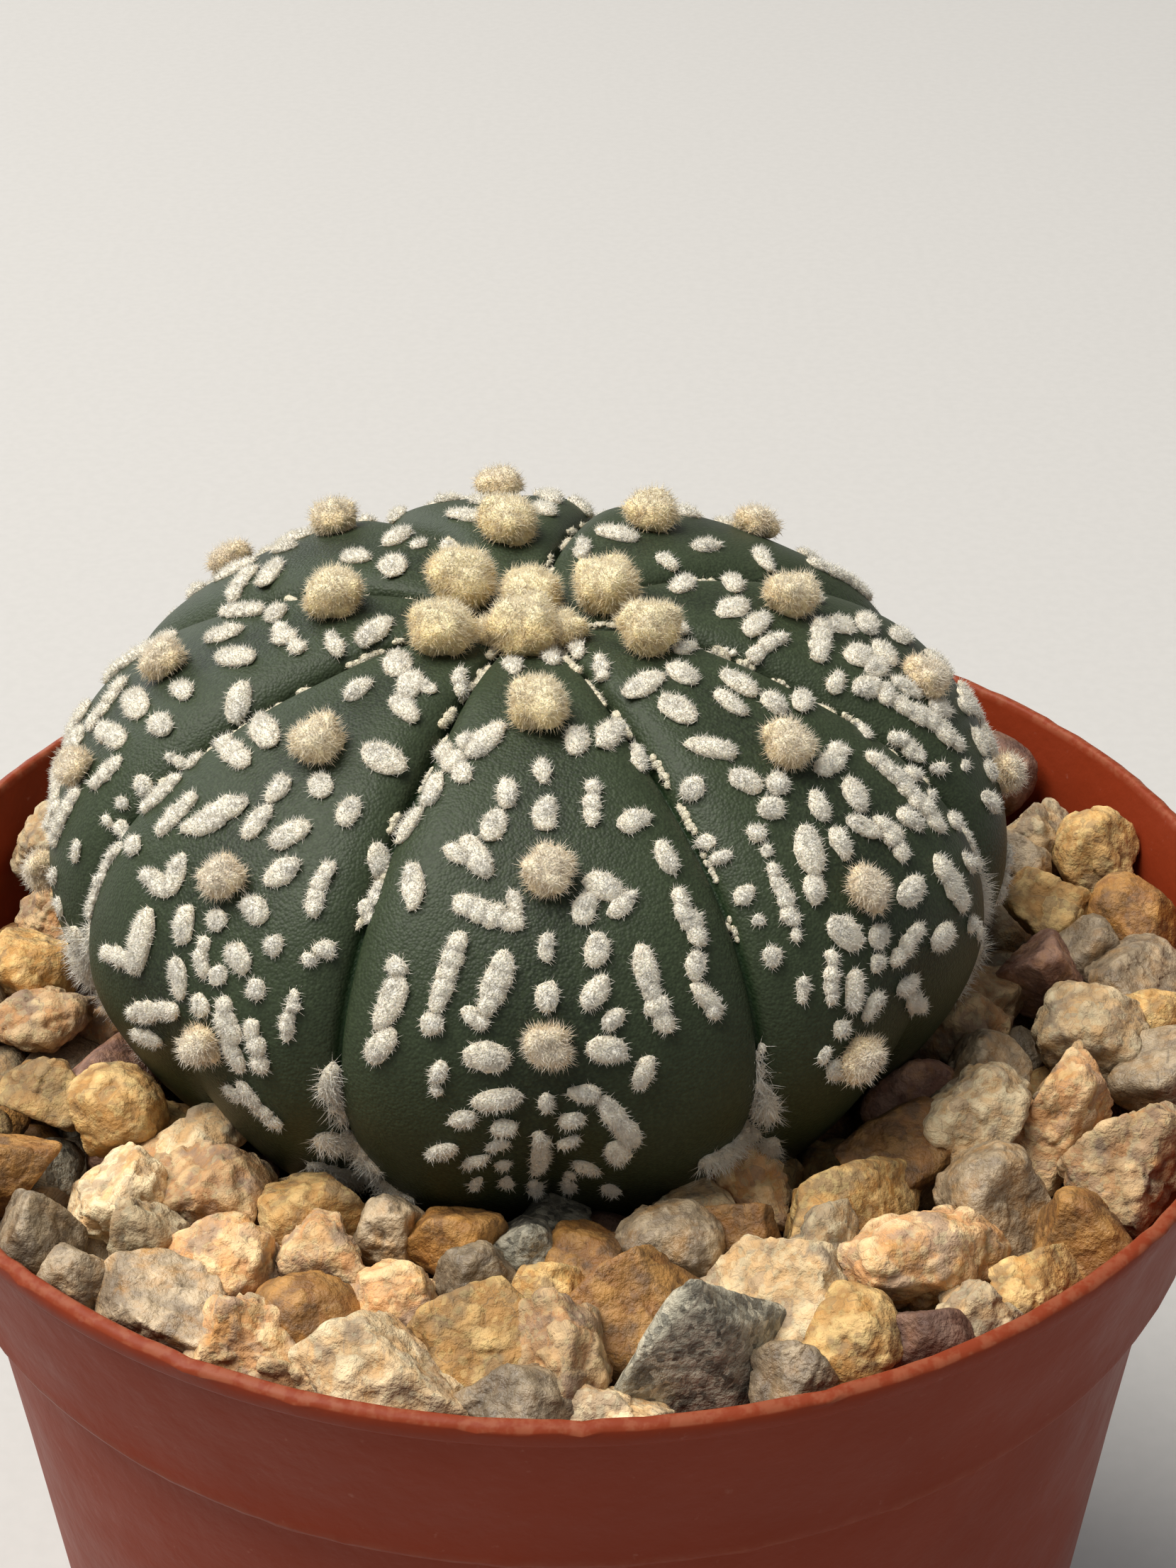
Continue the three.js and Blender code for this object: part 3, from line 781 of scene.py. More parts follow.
@dataclass(frozen=True)
class GlobeForm:
    """The rule of the ribbed globe. It works on plain numbers, and on fields in a node tree."""

    radius: Number = 29.4 * MM
    upper_height: Number = 16.5 * MM
    lower_height: Number = 26 * MM
    groove_depth: Number = 1.5 * MM
    crease_depth: Number = 1.7 * MM
    cleft_depth: Number = 0.0
    upper_power: float = 2.2
    lower_power: float = 1.6
    lower_end: float = 1.36
    crown_dip: float = 2 * MM
    crown_dip_radius: float = 6 * MM
    groove_power: float = 6.0
    crease_share: float = 0.25
    cleft_width: float = 0.22 * MM
    ribs: int = 8
    first_rib: float = math.radians(4.4)
    groove_shifts: tuple[float, ...] = (-2.7, 1.0, 1.0, 0.0, 6.0, 0.0, 0.0, -1.7)
    front_lean: float = math.radians(1.3)
    centre: tuple[float, float, float] = (-2.3 * MM, 4.4 * MM, 76.7 * MM)
    neck_radius: float = 5.5 * MM
    neck_length: float = 3.3 * MM
    root_length: float = 34.5 * MM

    def meridian(self, station: Number) -> tuple[Number, Number]:
        """Radius and height of the plain globe.

        Args:
            station: 0 at the crown, 1 at the girth, lower_end at the foot, and 1 more at the root's tip.

        Returns:
            The radius, and the height from the girth's plane.
        """
        quarter = math.pi / 2
        upper = least(station, 1.0) * quarter
        lower = least(most(station - 1.0, 0.0), self.lower_end - 1) * quarter
        above, below = 2 / self.upper_power, 2 / self.lower_power
        radius = most(sine(upper), 0.0) ** above * cosine(lower) ** below * self.radius
        height = most(cosine(upper), 0.0) ** above * self.upper_height
        height = height - most(sine(lower), 0.0) ** below * self.lower_height
        bowl = exponent(-((radius * (1 / self.crown_dip_radius)) ** 2.0))
        dip = bowl * self.crown_dip * ease(1.0, 0.9, station)
        under = least(most(station - self.lower_end, 0.0), 1.0)
        point = 1.0 - most(under - 0.5, 0.0) ** 2.0 * 4.0
        neck = mix(radius, self.neck_radius, ease(0.0, 0.5, under)) * point
        foot = math.sin((self.lower_end - 1) * quarter) ** below * self.lower_height
        drop = ease(0.0, 0.4, under) * self.neck_length
        drop = drop + ease(0.45, 1.0, under) * (self.root_length - self.neck_length - foot)
        return neck, height - dip - drop

    def sink(self, station: Number, aside: Number, radius: Number) -> Number:
        """How far the skin lies inside the plain globe.

        Args:
            station: the place along the rib.
            aside: the place across it, 0 on its middle line and 1 at its grooves.
            radius: the plain globe's radius there.

        Returns:
            The depth of grooves and crease.
        """
        groove = ease(0.0, 0.3, station) * mix(1.0, 1.5, ease(1.0, 1.3, station)) * self.groove_depth
        crease = ease(0.75, 1.35, station) * self.crease_depth
        from_groove = (1.0 - aside) * radius * (math.pi / self.ribs / self.cleft_width)
        cleft = exponent(-(from_groove * from_groove)) * ease(0.03, 0.12, station) * self.cleft_depth
        fold = crease * exponent(-(aside * (1 / self.crease_share)))
        depth = groove * aside**self.groove_power + fold + cleft
        return depth * ease(self.lower_end + 0.35, self.lower_end, station)

    def middle(self, rib: Number) -> Number:
        """The azimuth of a rib's nominal middle line."""
        return rib * FULL_TURN / self.ribs + self.first_rib

    def azimuth(self, turn: Number) -> Number:
        """The azimuth at a place round the globe: each whole number is a groove, rib 0 is from 0 to 1."""
        azimuth = (turn - 0.5) * (FULL_TURN / self.ribs) + self.first_rib
        for groove, shift in enumerate((*self.groove_shifts, self.groove_shifts[0])):
            if shift:
                azimuth = azimuth + most(1.0 - size_of(turn - float(groove)), 0.0) * math.radians(shift)
        return azimuth

    def skin(self, station: Number, turn: Number, out: Number = 0.0) -> tuple[Number, Number, Number]:
        """A point of the skin.

        Args:
            station: the place from the crown down.
            turn: the place round the globe.
            out: how far outside the skin.

        Returns:
            The point's three coordinates.
        """
        small = 1e-3
        radius, height = self.meridian(station)
        radius_0, height_0 = self.meridian(most(station - small, 0.0))
        radius_1, height_1 = self.meridian(station + small)
        run, fall = radius_1 - radius_0, height_1 - height_0
        length = root(run * run + fall * fall) + 1e-9
        aside = size_of(fraction(turn) * 2.0 - 1.0)
        push = out - self.sink(station, aside, radius)
        radius = most(radius - push * fall / length, 0.0)
        height = height + push * run / length
        azimuth = self.azimuth(turn)
        lean_cos, lean_sin = math.cos(self.front_lean), math.sin(self.front_lean)
        x, y = radius * sine(azimuth), -(radius * cosine(azimuth))
        return (
            x + self.centre[0],
            y * lean_cos - height * lean_sin + self.centre[1],
            y * lean_sin + height * lean_cos + self.centre[2],
        )


GLOBE_SIZES = ("radius", "upper_height", "lower_height", "groove_depth", "crease_depth", "cleft_depth")


@dataclass
class Globe:
    """The cactus body: one grown piece with eight ribs, its underside and root."""

    form: GlobeForm = GlobeForm()
    columns_per_rib: int = 46
    rows: int = 168
    seen_rows: float = 0.86
    crowding: float = 0.7
    cleft: float = 0.45 * MM
    wobble: float = 0.28 * MM
    wobble_size: float = 11 * MM
    sewing_distance: float = 0.004 * MM
    table_steps: int = 400
    probe: float = 0.01
    least_radius: float = 0.5 * MM
    finish: SkinFinish = SkinFinish("skin", roughness=0.5, specular=0.2)
    tree: BVHTree | None = None
    lengths: np.ndarray = field(default_factory=lambda: np.zeros(1))

    def build(self) -> Piece:
        """Grows the globe and keeps its surface for what sits on it.

        Returns:
            The finished piece.
        """
        form = replace(self.form, cleft_depth=self.cleft)
        labels = {name: name.replace("_", " ").title() for name in GLOBE_SIZES}
        sizes = {label: getattr(form, name) for name, label in labels.items()}
        sizes["Wobble"] = self.wobble
        sizes["Columns"] = form.ribs * self.columns_per_rib + 1
        sizes["Rows"] = self.rows + 1
        grower = Grower("ribbed_globe", sizes)
        rule = replace(form, **{name: grower.size(label) for name, label in labels.items()})
        counts = {"Vertices X": grower.size("Columns"), "Vertices Y": grower.size("Rows")}
        grid = grower.add("GeometryNodeMeshGrid", {"Size X": 1.0, "Size Y": 1.0, **counts})
        x, y, _ = grower.axes(grower.add("GeometryNodeInputPosition"))
        turn = (x + 0.5) * float(self.form.ribs)
        turn = turn - sine(turn * (2 * FULL_TURN)) * (self.crowding / (2 * FULL_TURN))
        row = y + 0.5
        station = least(row / self.seen_rows, 1.0) * self.form.lower_end
        station = station + most(row - self.seen_rows, 0.0) / (1 - self.seen_rows)
        aside = size_of(fraction(turn) * 2.0 - 1.0)
        marked = grower.store(grower.out(grid, "Mesh"), "aside", aside)
        marked = grower.store(marked, "down", station / self.form.lower_end)
        plain = grower.add("ShaderNodeCombineXYZ", dict(enumerate(rule.skin(station, turn))))
        noise_inputs = {"Vector": plain, "Scale": 1 / self.wobble_size, "Detail": 1.0}
        lumps = grower.out(grower.add("ShaderNodeTexNoise", noise_inputs), 0) - 0.5
        fade = ease(0.02, 0.25, station) * ease(self.form.lower_end + 0.2, self.form.lower_end, station)
        out = lumps * grower.size("Wobble") * 2.0 * fade
        place = grower.add("ShaderNodeCombineXYZ", dict(enumerate(rule.skin(station, turn, out))))
        shaped = grower.add("GeometryNodeSetPosition", {"Geometry": marked, "Position": place})
        inputs = {"Geometry": shaped, "Distance": self.sewing_distance}
        sewn = grower.add("GeometryNodeMergeByDistance", inputs)
        turned = grower.add("GeometryNodeFlipFaces", {"Mesh": sewn})
        grower.close(grower.smooth(turned), self.finish.material())
        piece = grower.grow("cactus_globe", point_carrier("globe_start", np.zeros((1, 3))))
        self.tree = BVHTree.FromPolygons(
            [corner.co for corner in piece.data.vertices], [face.vertices for face in piece.data.polygons]
        )
        stations = np.linspace(0, self.form.lower_end, self.table_steps + 1)
        radii, heights = self.form.meridian(stations)
        steps = np.hypot(np.diff(radii), np.diff(heights))
        self.lengths = np.concatenate([[0], np.cumsum(steps)])
        return piece

    def station_at(self, distance: np.ndarray) -> np.ndarray:
        """The station at a length along the rib from the crown."""
        return np.interp(distance, self.lengths, np.linspace(0, self.form.lower_end, self.table_steps + 1))

    def turn_at(self, azimuth: np.ndarray) -> np.ndarray:
        """The place round the globe, from 0 to the number of ribs, at an azimuth."""
        turns = np.arange(self.form.ribs + 1.0)
        grooves = np.array([self.form.azimuth(turn) for turn in turns])
        return np.interp((azimuth - grooves[0]) % FULL_TURN + grooves[0], grooves, turns)

    def half_rib(self, distance: np.ndarray) -> np.ndarray:
        """Half a rib's breadth at a length from the crown."""
        return math.pi / self.form.ribs * self.form.meridian(self.station_at(distance))[0]

    def seats(self, rib: np.ndarray, distance: np.ndarray, sideways: np.ndarray) -> dict[str, np.ndarray]:
        """Places and directions on the skin.

        Args:
            rib: the number of each place's rib.
            distance: its length along the rib from the crown.
            sideways: its length across the rib from the middle line.

        Returns:
            The arrays place, outward (the skin's normal), along (down the rib) and across.
        """
        station = self.station_at(distance)
        radius = np.maximum(self.form.meridian(station)[0], self.least_radius)
        turn = self.turn_at(self.form.middle(rib) + sideways / radius)
        stations = (station, station + self.probe, np.maximum(station - self.probe, 0), station, station)
        turns = (turn, turn, turn, turn + self.probe, turn - self.probe)
        skins = [np.stack(self.form.skin(*place), axis=-1) for place in zip(stations, turns)]
        point, below, above, after, before = skins
        along = unit(below - above)
        outward = unit(np.cross(along, after - before))
        seen = [self.tree.find_nearest(Vector(one))[0] for one in point]
        place = np.array([tuple(one) for one in seen])
        return {"place": place, "outward": outward, "along": along, "across": np.cross(outward, along)}


def unit(vectors: np.ndarray) -> np.ndarray:
    """Vectors of length 1 in the same directions."""
    return vectors / np.maximum(np.linalg.norm(vectors, axis=-1, keepdims=True), 1e-12)


# ---- the wool

# Strokes of wool, each as distance and sideways place of its two ends and its width, in tenths of a
# millimetre. The distance runs from the crown along the rib, and the sideways place from its nominal middle.
# The front rib.
FRONT_STROKES = (
    (32, -7, 42, -4, 13), (38, 10, 64, 12, 12), (63, -12, 72, -10, 12), (129, -26, 145, -35, 16),
    (137, -43, 140, -41, 9), (144, -54, 163, -45, 15), (136, 22, 144, 19, 14), (132, 44, 143, 34, 16),
    (146, 57, 159, 56, 10), (156, 0, 164, 0, 11.5), (170, -21, 180, -20, 12), (193, -28, 199, -29, 15),
    (187, 0, 194, -1, 15), (175, 27, 193, 25, 13.5), (201, 44, 198, 52, 14), (168, -62, 180, -62, 13),
    (192, -74, 204, -79, 12), (209, -44, 222, -35, 14), (213, -53, 217, -46, 10),
    (244, -46, 252, -23, 16), (239, -21, 246, -19, 10), (229, -76, 244, -73, 14), (234, 25, 238, 31, 16),
    (244, 19, 250, 15, 14), (250, 33, 245, 41, 11), (220, 64, 230, 64, 14), (250, 69, 272, 76, 14),
    (284, 76, 290, 75, 12), (300, 78, 312, 85, 13), (264, -4, 271, -5, 11.5), (290, -5, 296, -6, 13),
    (267, 23, 274, 21, 14), (289, 23, 296, 17, 13.5), (266, -52, 298, -64, 13.5),
    (309, -68, 309, -67, 13), (276, -28, 298, -38, 16), (302, -47, 306, -42, 11),
    (281, -86, 282, -85, 13), (292, -87, 310, -93, 16), (320, -93, 330, -99, 15),
    (325, -43, 325, -34, 18), (333, -64, 337, -65, 12), (346, -67, 346, -66, 8), (352, -42, 348, -27, 13),
    (364, -56, 362, -50, 12.5), (369, -34, 369, -29, 11), (350, -8, 355, -8, 9), (347, 9, 348, 16, 12),
    (356, 24, 369, 32, 14), (369, 32, 381, 38, 14), (389, 30, 396, 32, 14), (306, 31, 309, 26, 11),
    (322, 21, 324, 29, 17), (334, 47, 343, 42, 11), (276, 47, 290, 48, 14), (296, 50, 313, 55, 14),
    (379, -12, 410, -12, 11), (416, -14, 417, -14, 6), (367, 2, 364, 8, 10), (382, 6, 387, 2, 10),
    (408, 11, 412, 17, 11), (391, -69, 387, -61, 12), (384, -37, 382, -32, 9), (400, -50, 395, -42, 9),
    (403, -32, 403, -31, 9), (419, -45, 426, -48, 8), (421, -30, 429, -30, 8), (424, 5, 424, 6, 8),
    (435, 5, 450, 6, 7), (436, 27, 443, 31, 9), (433, -15, 450, -14, 7),
)
# The rib at its right.
RIGHT_STROKES = (
    (46, -7, 58, -16, 10), (76, -18, 88, -27, 10), (111, -28, 110, -12, 16), (114, 5, 121, 4, 16),
    (104, 22, 106, 30, 10), (132, -22, 141, -21, 18), (143, 7, 157, 6, 12), (140, 24, 151, 24, 14),
    (163, -36, 176, -24, 16), (187, -58, 187, -56, 15), (166, 30, 170, 29, 14), (180, 43, 178, 55, 13),
    (195, -33, 200, -30, 15), (209, -19, 207, -16, 15), (218, -34, 218, -31, 15), (216, 16, 215, 36, 15),
    (227, -52, 229, -50, 11), (239, -54, 240, -54, 9), (226, -4, 235, -8, 13), (218, -76, 220, -72, 10),
    (230, -78, 232, -73, 8), (234, 23, 242, 18, 14), (233, 56, 282, 66, 15), (244, -30, 256, -36, 18),
    (266, -44, 272, -47, 13), (250, -11, 258, -13, 13), (250, 6, 260, 14, 14), (260, 24, 278, 24, 14),
    (252, -60, 286, -69, 10), (257, -82, 256, -78, 11), (273, -83, 273, -82, 7), (294, -87, 295, -87, 12),
    (315, -79, 322, -82, 9), (294, -45, 302, -40, 17), (300, 10, 300, 20, 18), (304, 50, 327, 56, 19),
    (310, -23, 310, -21, 14), (323, -29, 323, -28, 11), (308, -58, 328, -66, 11), (326, -12, 322, 5, 14),
    (323, -48, 336, -53, 13), (347, -44, 342, -35, 11), (347, -12, 349, -2, 13), (336, 26, 337, 34, 16),
    (348, -64, 349, -64, 11), (364, -77, 360, -76, 8), (372, -70, 376, -66, 12), (362, -4, 372, 8, 13),
)
# The rib at its left.
LEFT_STROKES = (
    (94, -18, 100, -10, 17), (102, 5, 114, 11, 16), (123, 13, 129, 25, 15), (105, 15, 106, 20, 9),
    (82, 21, 94, 27, 10), (123, -16, 132, -15, 14), (163, 29, 164, 40, 18), (180, -51, 184, -35, 17),
    (192, 15, 194, 18, 18), (198, 41, 205, 42, 14), (202, -5, 210, -5, 13), (203, -63, 204, -43, 16),
    (226, -22, 240, -33, 16), (224, -2, 234, -2, 14), (222, 24, 231, 18, 17), (218, 69, 224, 73, 14),
    (239, 53, 260, 59, 12), (238, 79, 255, 83, 11), (245, 33, 251, 29, 16), (250, -39, 240, -26, 15),
    (271, 27, 273, 32, 17), (272, -33, 282, -30, 15), (286, -49, 287, -34, 14), (286, 9, 286, 10, 13),
    (293, -11, 301, -9, 15), (286, 50, 287, 50, 12), (311, 50, 312, 50, 13), (280, 74, 280, 77, 11),
    (288, 69, 288, 72, 7), (300, 9, 314, 12, 11), (298, 31, 301, 35, 16), (311, 25, 314, 23, 12),
    (308, -39, 330, -38, 19), (340, -65, 336, -48, 13), (320, -4, 330, 0, 15), (333, 17, 334, 17, 13),
    (326, 34, 358, 45, 15), (310, 71, 332, 73, 9), (333, 54, 352, 61, 14), (346, -5, 366, -39, 13),
    (385, -42, 379, -25, 12), (374, 50, 393, 65, 12), (380, 38, 383, 43, 10),
)
# What shows of the far right rib.
FAR_RIGHT_STROKES = (
    (105, -40, 128, -42, 5), (120, -9, 128, 1, 17), (95, 16, 102, 26, 15), (130, 22, 133, 34, 13),
    (135, -28, 141, -12, 16), (143, -45, 152, -30, 12), (177, -37, 179, -3, 14), (190, 2, 198, 10, 19),
    (200, -30, 205, -20, 17), (192, -60, 192, -52, 10), (208, -56, 213, -50, 15),
    (223, -57, 222, -50, 12), (212, -35, 216, -26, 16), (223, -14, 220, -5, 15), (213, 14, 219, 30, 18),
    (235, -58, 275, -58, 17), (230, -39, 240, -39, 13), (258, -40, 265, -34, 14), (272, -87, 275, -83, 9),
    (313, -76, 324, -72, 12), (315, -108, 340, -112, 9), (358, -110, 358, -109, 7),
)
# What shows of the far left rib.
FAR_LEFT_STROKES = (
    (86, 13, 98, 24, 18), (117, 21, 117, 33, 12), (146, 0, 139, 21, 15), (152, -28, 152, -21, 14),
    (180, 8, 169, 20, 17), (178, -19, 187, -19, 15), (190, -53, 168, -37, 15), (178, 49, 186, 58, 16),
    (211, 22, 209, 32, 14), (230, 44, 227, 52, 14), (245, 2, 240, 22, 18), (270, 11, 257, 36, 16),
    (264, 57, 280, 56, 13), (260, -26, 280, -10, 14), (300, 48, 330, 52, 12), (288, 86, 286, 98, 10),
    (221, 86, 224, 91, 9), (246, 97, 260, 105, 9), (290, 116, 338, 120, 9),
)
# The shaggy clumps at the feet of the two front grooves, with sideways places counted from the groove.
FOOT_CLUMPS = {
    0: (
        (352, -3, 364, -5, 12), (366, -2, 396, -1, 6), (412, -9, 433, 11, 18), (446, -22, 476, -6, 15),
        (452, 12, 457, 30, 10), (485, 22, 495, 34, 12),
    ),
    1: (
        (352, -1, 372, 0, 5), (374, 0, 390, 3, 10), (392, 3, 404, 6, 16), (430, 4, 420, -30, 17),
        (438, 17, 490, 16, 14), (488, -30, 496, -46, 11),
    ),
}


@dataclass(frozen=True)
class WoolGrower:
    """Grows felt: balls pressed to the sizes given, made lumpy by noise and covered in short fibres."""

    density: float
    length: float
    radius: float
    lump_height: float
    lump_size: float
    lean: float = 0.9
    fineness: int = 2
    underside: float = -0.05

    def felt(
        self, name: str, places: np.ndarray, seed: int, material: Material, **balls: np.ndarray
    ) -> Piece:
        """Grows a piece of felt.

        Args:
            name: the piece's name.
            places: the balls' centres.
            seed: the seed of the fibres' places.
            material: the wool's material.
            **balls: for each ball outward (the skin's normal), along (its first axis), half (its half sizes
                along, across and outward) and age (0 young to 1 old).

        Returns:
            The piece.
        """
        sizes = {
            "Fibre Density": self.density,
            "Fibre Length": self.length,
            "Fibre Radius": self.radius,
            "Fibre Lean": self.lean,
            "Fibre Underside": self.underside,
            "Lump Height": self.lump_height,
            "Lump Size": self.lump_size,
        }
        grower = Grower(name, sizes)
        ball = grower.add("GeometryNodeMeshIcoSphere", {"Radius": 1.0, "Subdivisions": self.fineness})
        # high runs from 0 on the ball's skin side to 1 on its outer side; the wool finish paints its
        # highlight and shade by it.
        high = grower.axes(grower.add("GeometryNodeInputPosition"))[2] * 0.5 + 0.5
        ball = grower.store(grower.out(ball, "Mesh"), "high", high)
        labels = ("outward", "along", "half")
        outward, along, half = (grower.stored(label, "FLOAT_VECTOR") for label in labels)
        source = grower.source.outputs["Geometry"]
        core = grower.copies(source, ball, grower.turned_to(outward, along), half)
        inputs = {"Scale": 1.0 / grower.size("Lump Size"), "Detail": 2.0}
        lumps = grower.add("ShaderNodeTexNoise", inputs)
        push = (grower.out(lumps, 0) - 0.5) * grower.size("Lump Height") * 2.0
        offset = grower.vector("SCALE", grower.add("GeometryNodeInputNormal"), push)
        core = grower.add("GeometryNodeSetPosition", {"Geometry": core, "Offset": offset})
        hairs = grower.fibres(core, seed)
        both = grower.add("GeometryNodeJoinGeometry")
        for part in (grower.smooth(core), hairs):
            grower.feed(both.inputs[0], part)
        grower.close(both, material)
        return grower.grow(name, point_carrier(f"{name}_start", places, **balls))


@dataclass
class Tufts:
    """The felted tufts on each rib's middle line: round balls at the crown, low domes on the flank."""

    globe: Globe
    places: tuple[tuple[tuple[float, float], ...], ...] = (
        ((3.8, -0.3), (11.6, 0.1), (22.7, -0.2), (31.8, -0.6)),
        ((8.6, 1.4), (19.4, 0.3), (28.3, -1.8), (37, -5.4)),
        ((5.3, 0.7), (15.9, 1), (24.6, -2.5), (33, -3)),
        ((1.8, 0.8), (14.1, 1.8), (22.5, 0), (31.5, 0)),
        ((9.3, 0.5), (20.4, 0.5), (30, 0)),
        ((4.9, 0.7), (18.6, -2.4), (26, 0.6), (34, 0)),
        ((11.4, -1.4), (21.9, -0.9), (29, 3.2), (36.5, 3)),
        ((6.5, -0.9), (17.3, -0.2), (26.4, 0.4), (35.3, 2.4)),
    )
    old_width: float = 2.6 * MM
    young_extra: float = 2.7 * MM
    fade: float = 15 * MM
    root: float = 0.5 * MM
    small_at_crown: float = 0.8
    rises: tuple[float, float] = (1.42, 1.25)
    companions: tuple[tuple[float, float, float], ...] = ((3.3, -2.3, 2.7), (3.7, 2.3, 2.9))
    fibre_share: float = 0.55
    core_share: float = 0.9
    lumps: int = 3
    lump_stray: float = 0.6
    lump_reach: Chance = Chance(0.3, 0.2)
    lump_size: Chance = Chance(0.62, 0.16)
    lump_rise: Chance = Chance(0.35, 0.65)
    trim: float = 0.22 * MM
    seed: int = 31
    wool: WoolGrower = WoolGrower(
        density=36e6, length=0.58 * MM, radius=0.023 * MM, lump_height=0.7 * MM, lump_size=1.1 * MM,
        lean=0.8, fineness=3, underside=-0.6,
    )
    # The stain colour here is the painted golden shade under the tufts.
    finish: WoolFinish = WoolFinish(
        "tuft_wool", 0.85, heart=(0.99, 0.77, 0.40), tip=(0.99, 0.89, 0.64), old_heart=(0.92, 0.72, 0.47),
        old_tip=(0.96, 0.87, 0.70), stain=(0.98, 0.72, 0.33), stained=0.5,
    )

    def layout(self) -> dict[str, np.ndarray]:
        """Each tuft's rib, its distance from the crown, its sideways place, width and rise."""
        rows = [(rib, one * MM, aside * MM) for rib, line in enumerate(self.places) for one, aside in line]
        rib, distance, sideways = np.array(rows).T
        width = self.old_width + self.young_extra * np.exp(-distance / self.fade)
        width = width * mix(self.small_at_crown, 1.0, ease(1 * MM, 4 * MM, distance))
        for one, aside, wide in self.companions:
            extra = ((rib, 0), (distance, one * MM), (sideways, aside * MM), (width, wide * MM))
            rib, distance, sideways, width = (np.append(row, value) for row, value in extra)
        rise = width / 2 * mix(*self.rises, ease(4 * MM, 30 * MM, distance))
        return {"rib": rib, "distance": distance, "sideways": sideways, "width": width, "rise": rise}

    def build(self) -> list[Piece]:
        """Grows the tufts, a piece for each rib.

        Returns:
            The pieces.
        """
        rows = self.layout()
        material = self.finish.material()
        pieces = []
        for rib in range(self.globe.form.ribs):
            own = {key: row[rows["rib"] == rib] for key, row in rows.items()}
            pieces.append(self.grown(f"tufts_rib_{rib + 1}", own, material))
        return pieces

    def grown(self, name: str, rows: dict[str, np.ndarray], material: Material) -> Piece:
        """Grows a set of tufts.

        Args:
            name: the piece's name.
            rows: the tufts, as layout gives them.
            material: their wool.

        Returns:
            The piece.
        """
        seats = self.globe.seats(rows["rib"], rows["distance"], rows["sideways"])
        draw = SeededDraw(self.seed + len(rows["rib"]) + int(rows["rib"][0]))
        owners, offsets, halves = [], [], []
        for owner, (width, rise) in enumerate(zip(rows["width"], rows["rise"])):
            above = rise - self.wool.length * self.fibre_share
            tall = (above + self.root) / 2
            wide = (width / 2 - self.trim) * self.core_share
            owners += [owner] * (1 + self.lumps)
            offsets.append((0.0, 0.0, above - tall))
            halves.append((wide, wide, tall))
            for lump in range(self.lumps):
                angle = FULL_TURN * (lump + self.lump_stray * draw()) / self.lumps
                reach = wide * self.lump_reach(draw)
                size = wide * self.lump_size(draw)
                height = mix(size * 0.8, above - size, self.lump_rise(draw))
                offsets.append((reach * math.cos(angle), reach * math.sin(angle), height))
                halves.append((size, size, size))
        axes = np.stack([seats["along"], seats["across"], seats["outward"]], axis=1)[owners]
        place = seats["place"][owners] + (axes * np.array(offsets)[..., None]).sum(axis=1)
        balls = {
            "outward": seats["outward"][owners],
            "along": seats["along"][owners],
            "half": np.array(halves),
            "age": ease(6 * MM, 26 * MM, rows["distance"])[owners],
        }
        return self.wool.felt(name, place, self.seed, material, **balls)


@dataclass(frozen=True)
class Stroke:
    """A stroke of matted wool on the skin, from one place to another, in metres."""

    rib: int
    distance: float
    sideways: float
    end_distance: float
    end_sideways: float
    width: float

    @property
    def length(self) -> float:
        """The length between its ends."""
        return math.hypot(self.end_distance - self.distance, self.end_sideways - self.sideways)

    def at(self, share: float) -> tuple[float, float]:
        """The place at a share of its length, as distance and sideways."""
        return mix(self.distance, self.end_distance, share), mix(self.sideways, self.end_sideways, share)

    def gap(self, other: "Stroke") -> float:
        """The bare skin between this stroke and another, less than 0 where they meet."""
        shares = (0.0, 0.5, 1.0)
        nearest = min(math.dist(self.at(one), other.at(two)) for one in shares for two in shares)
        return nearest - (self.width + other.width) / 2


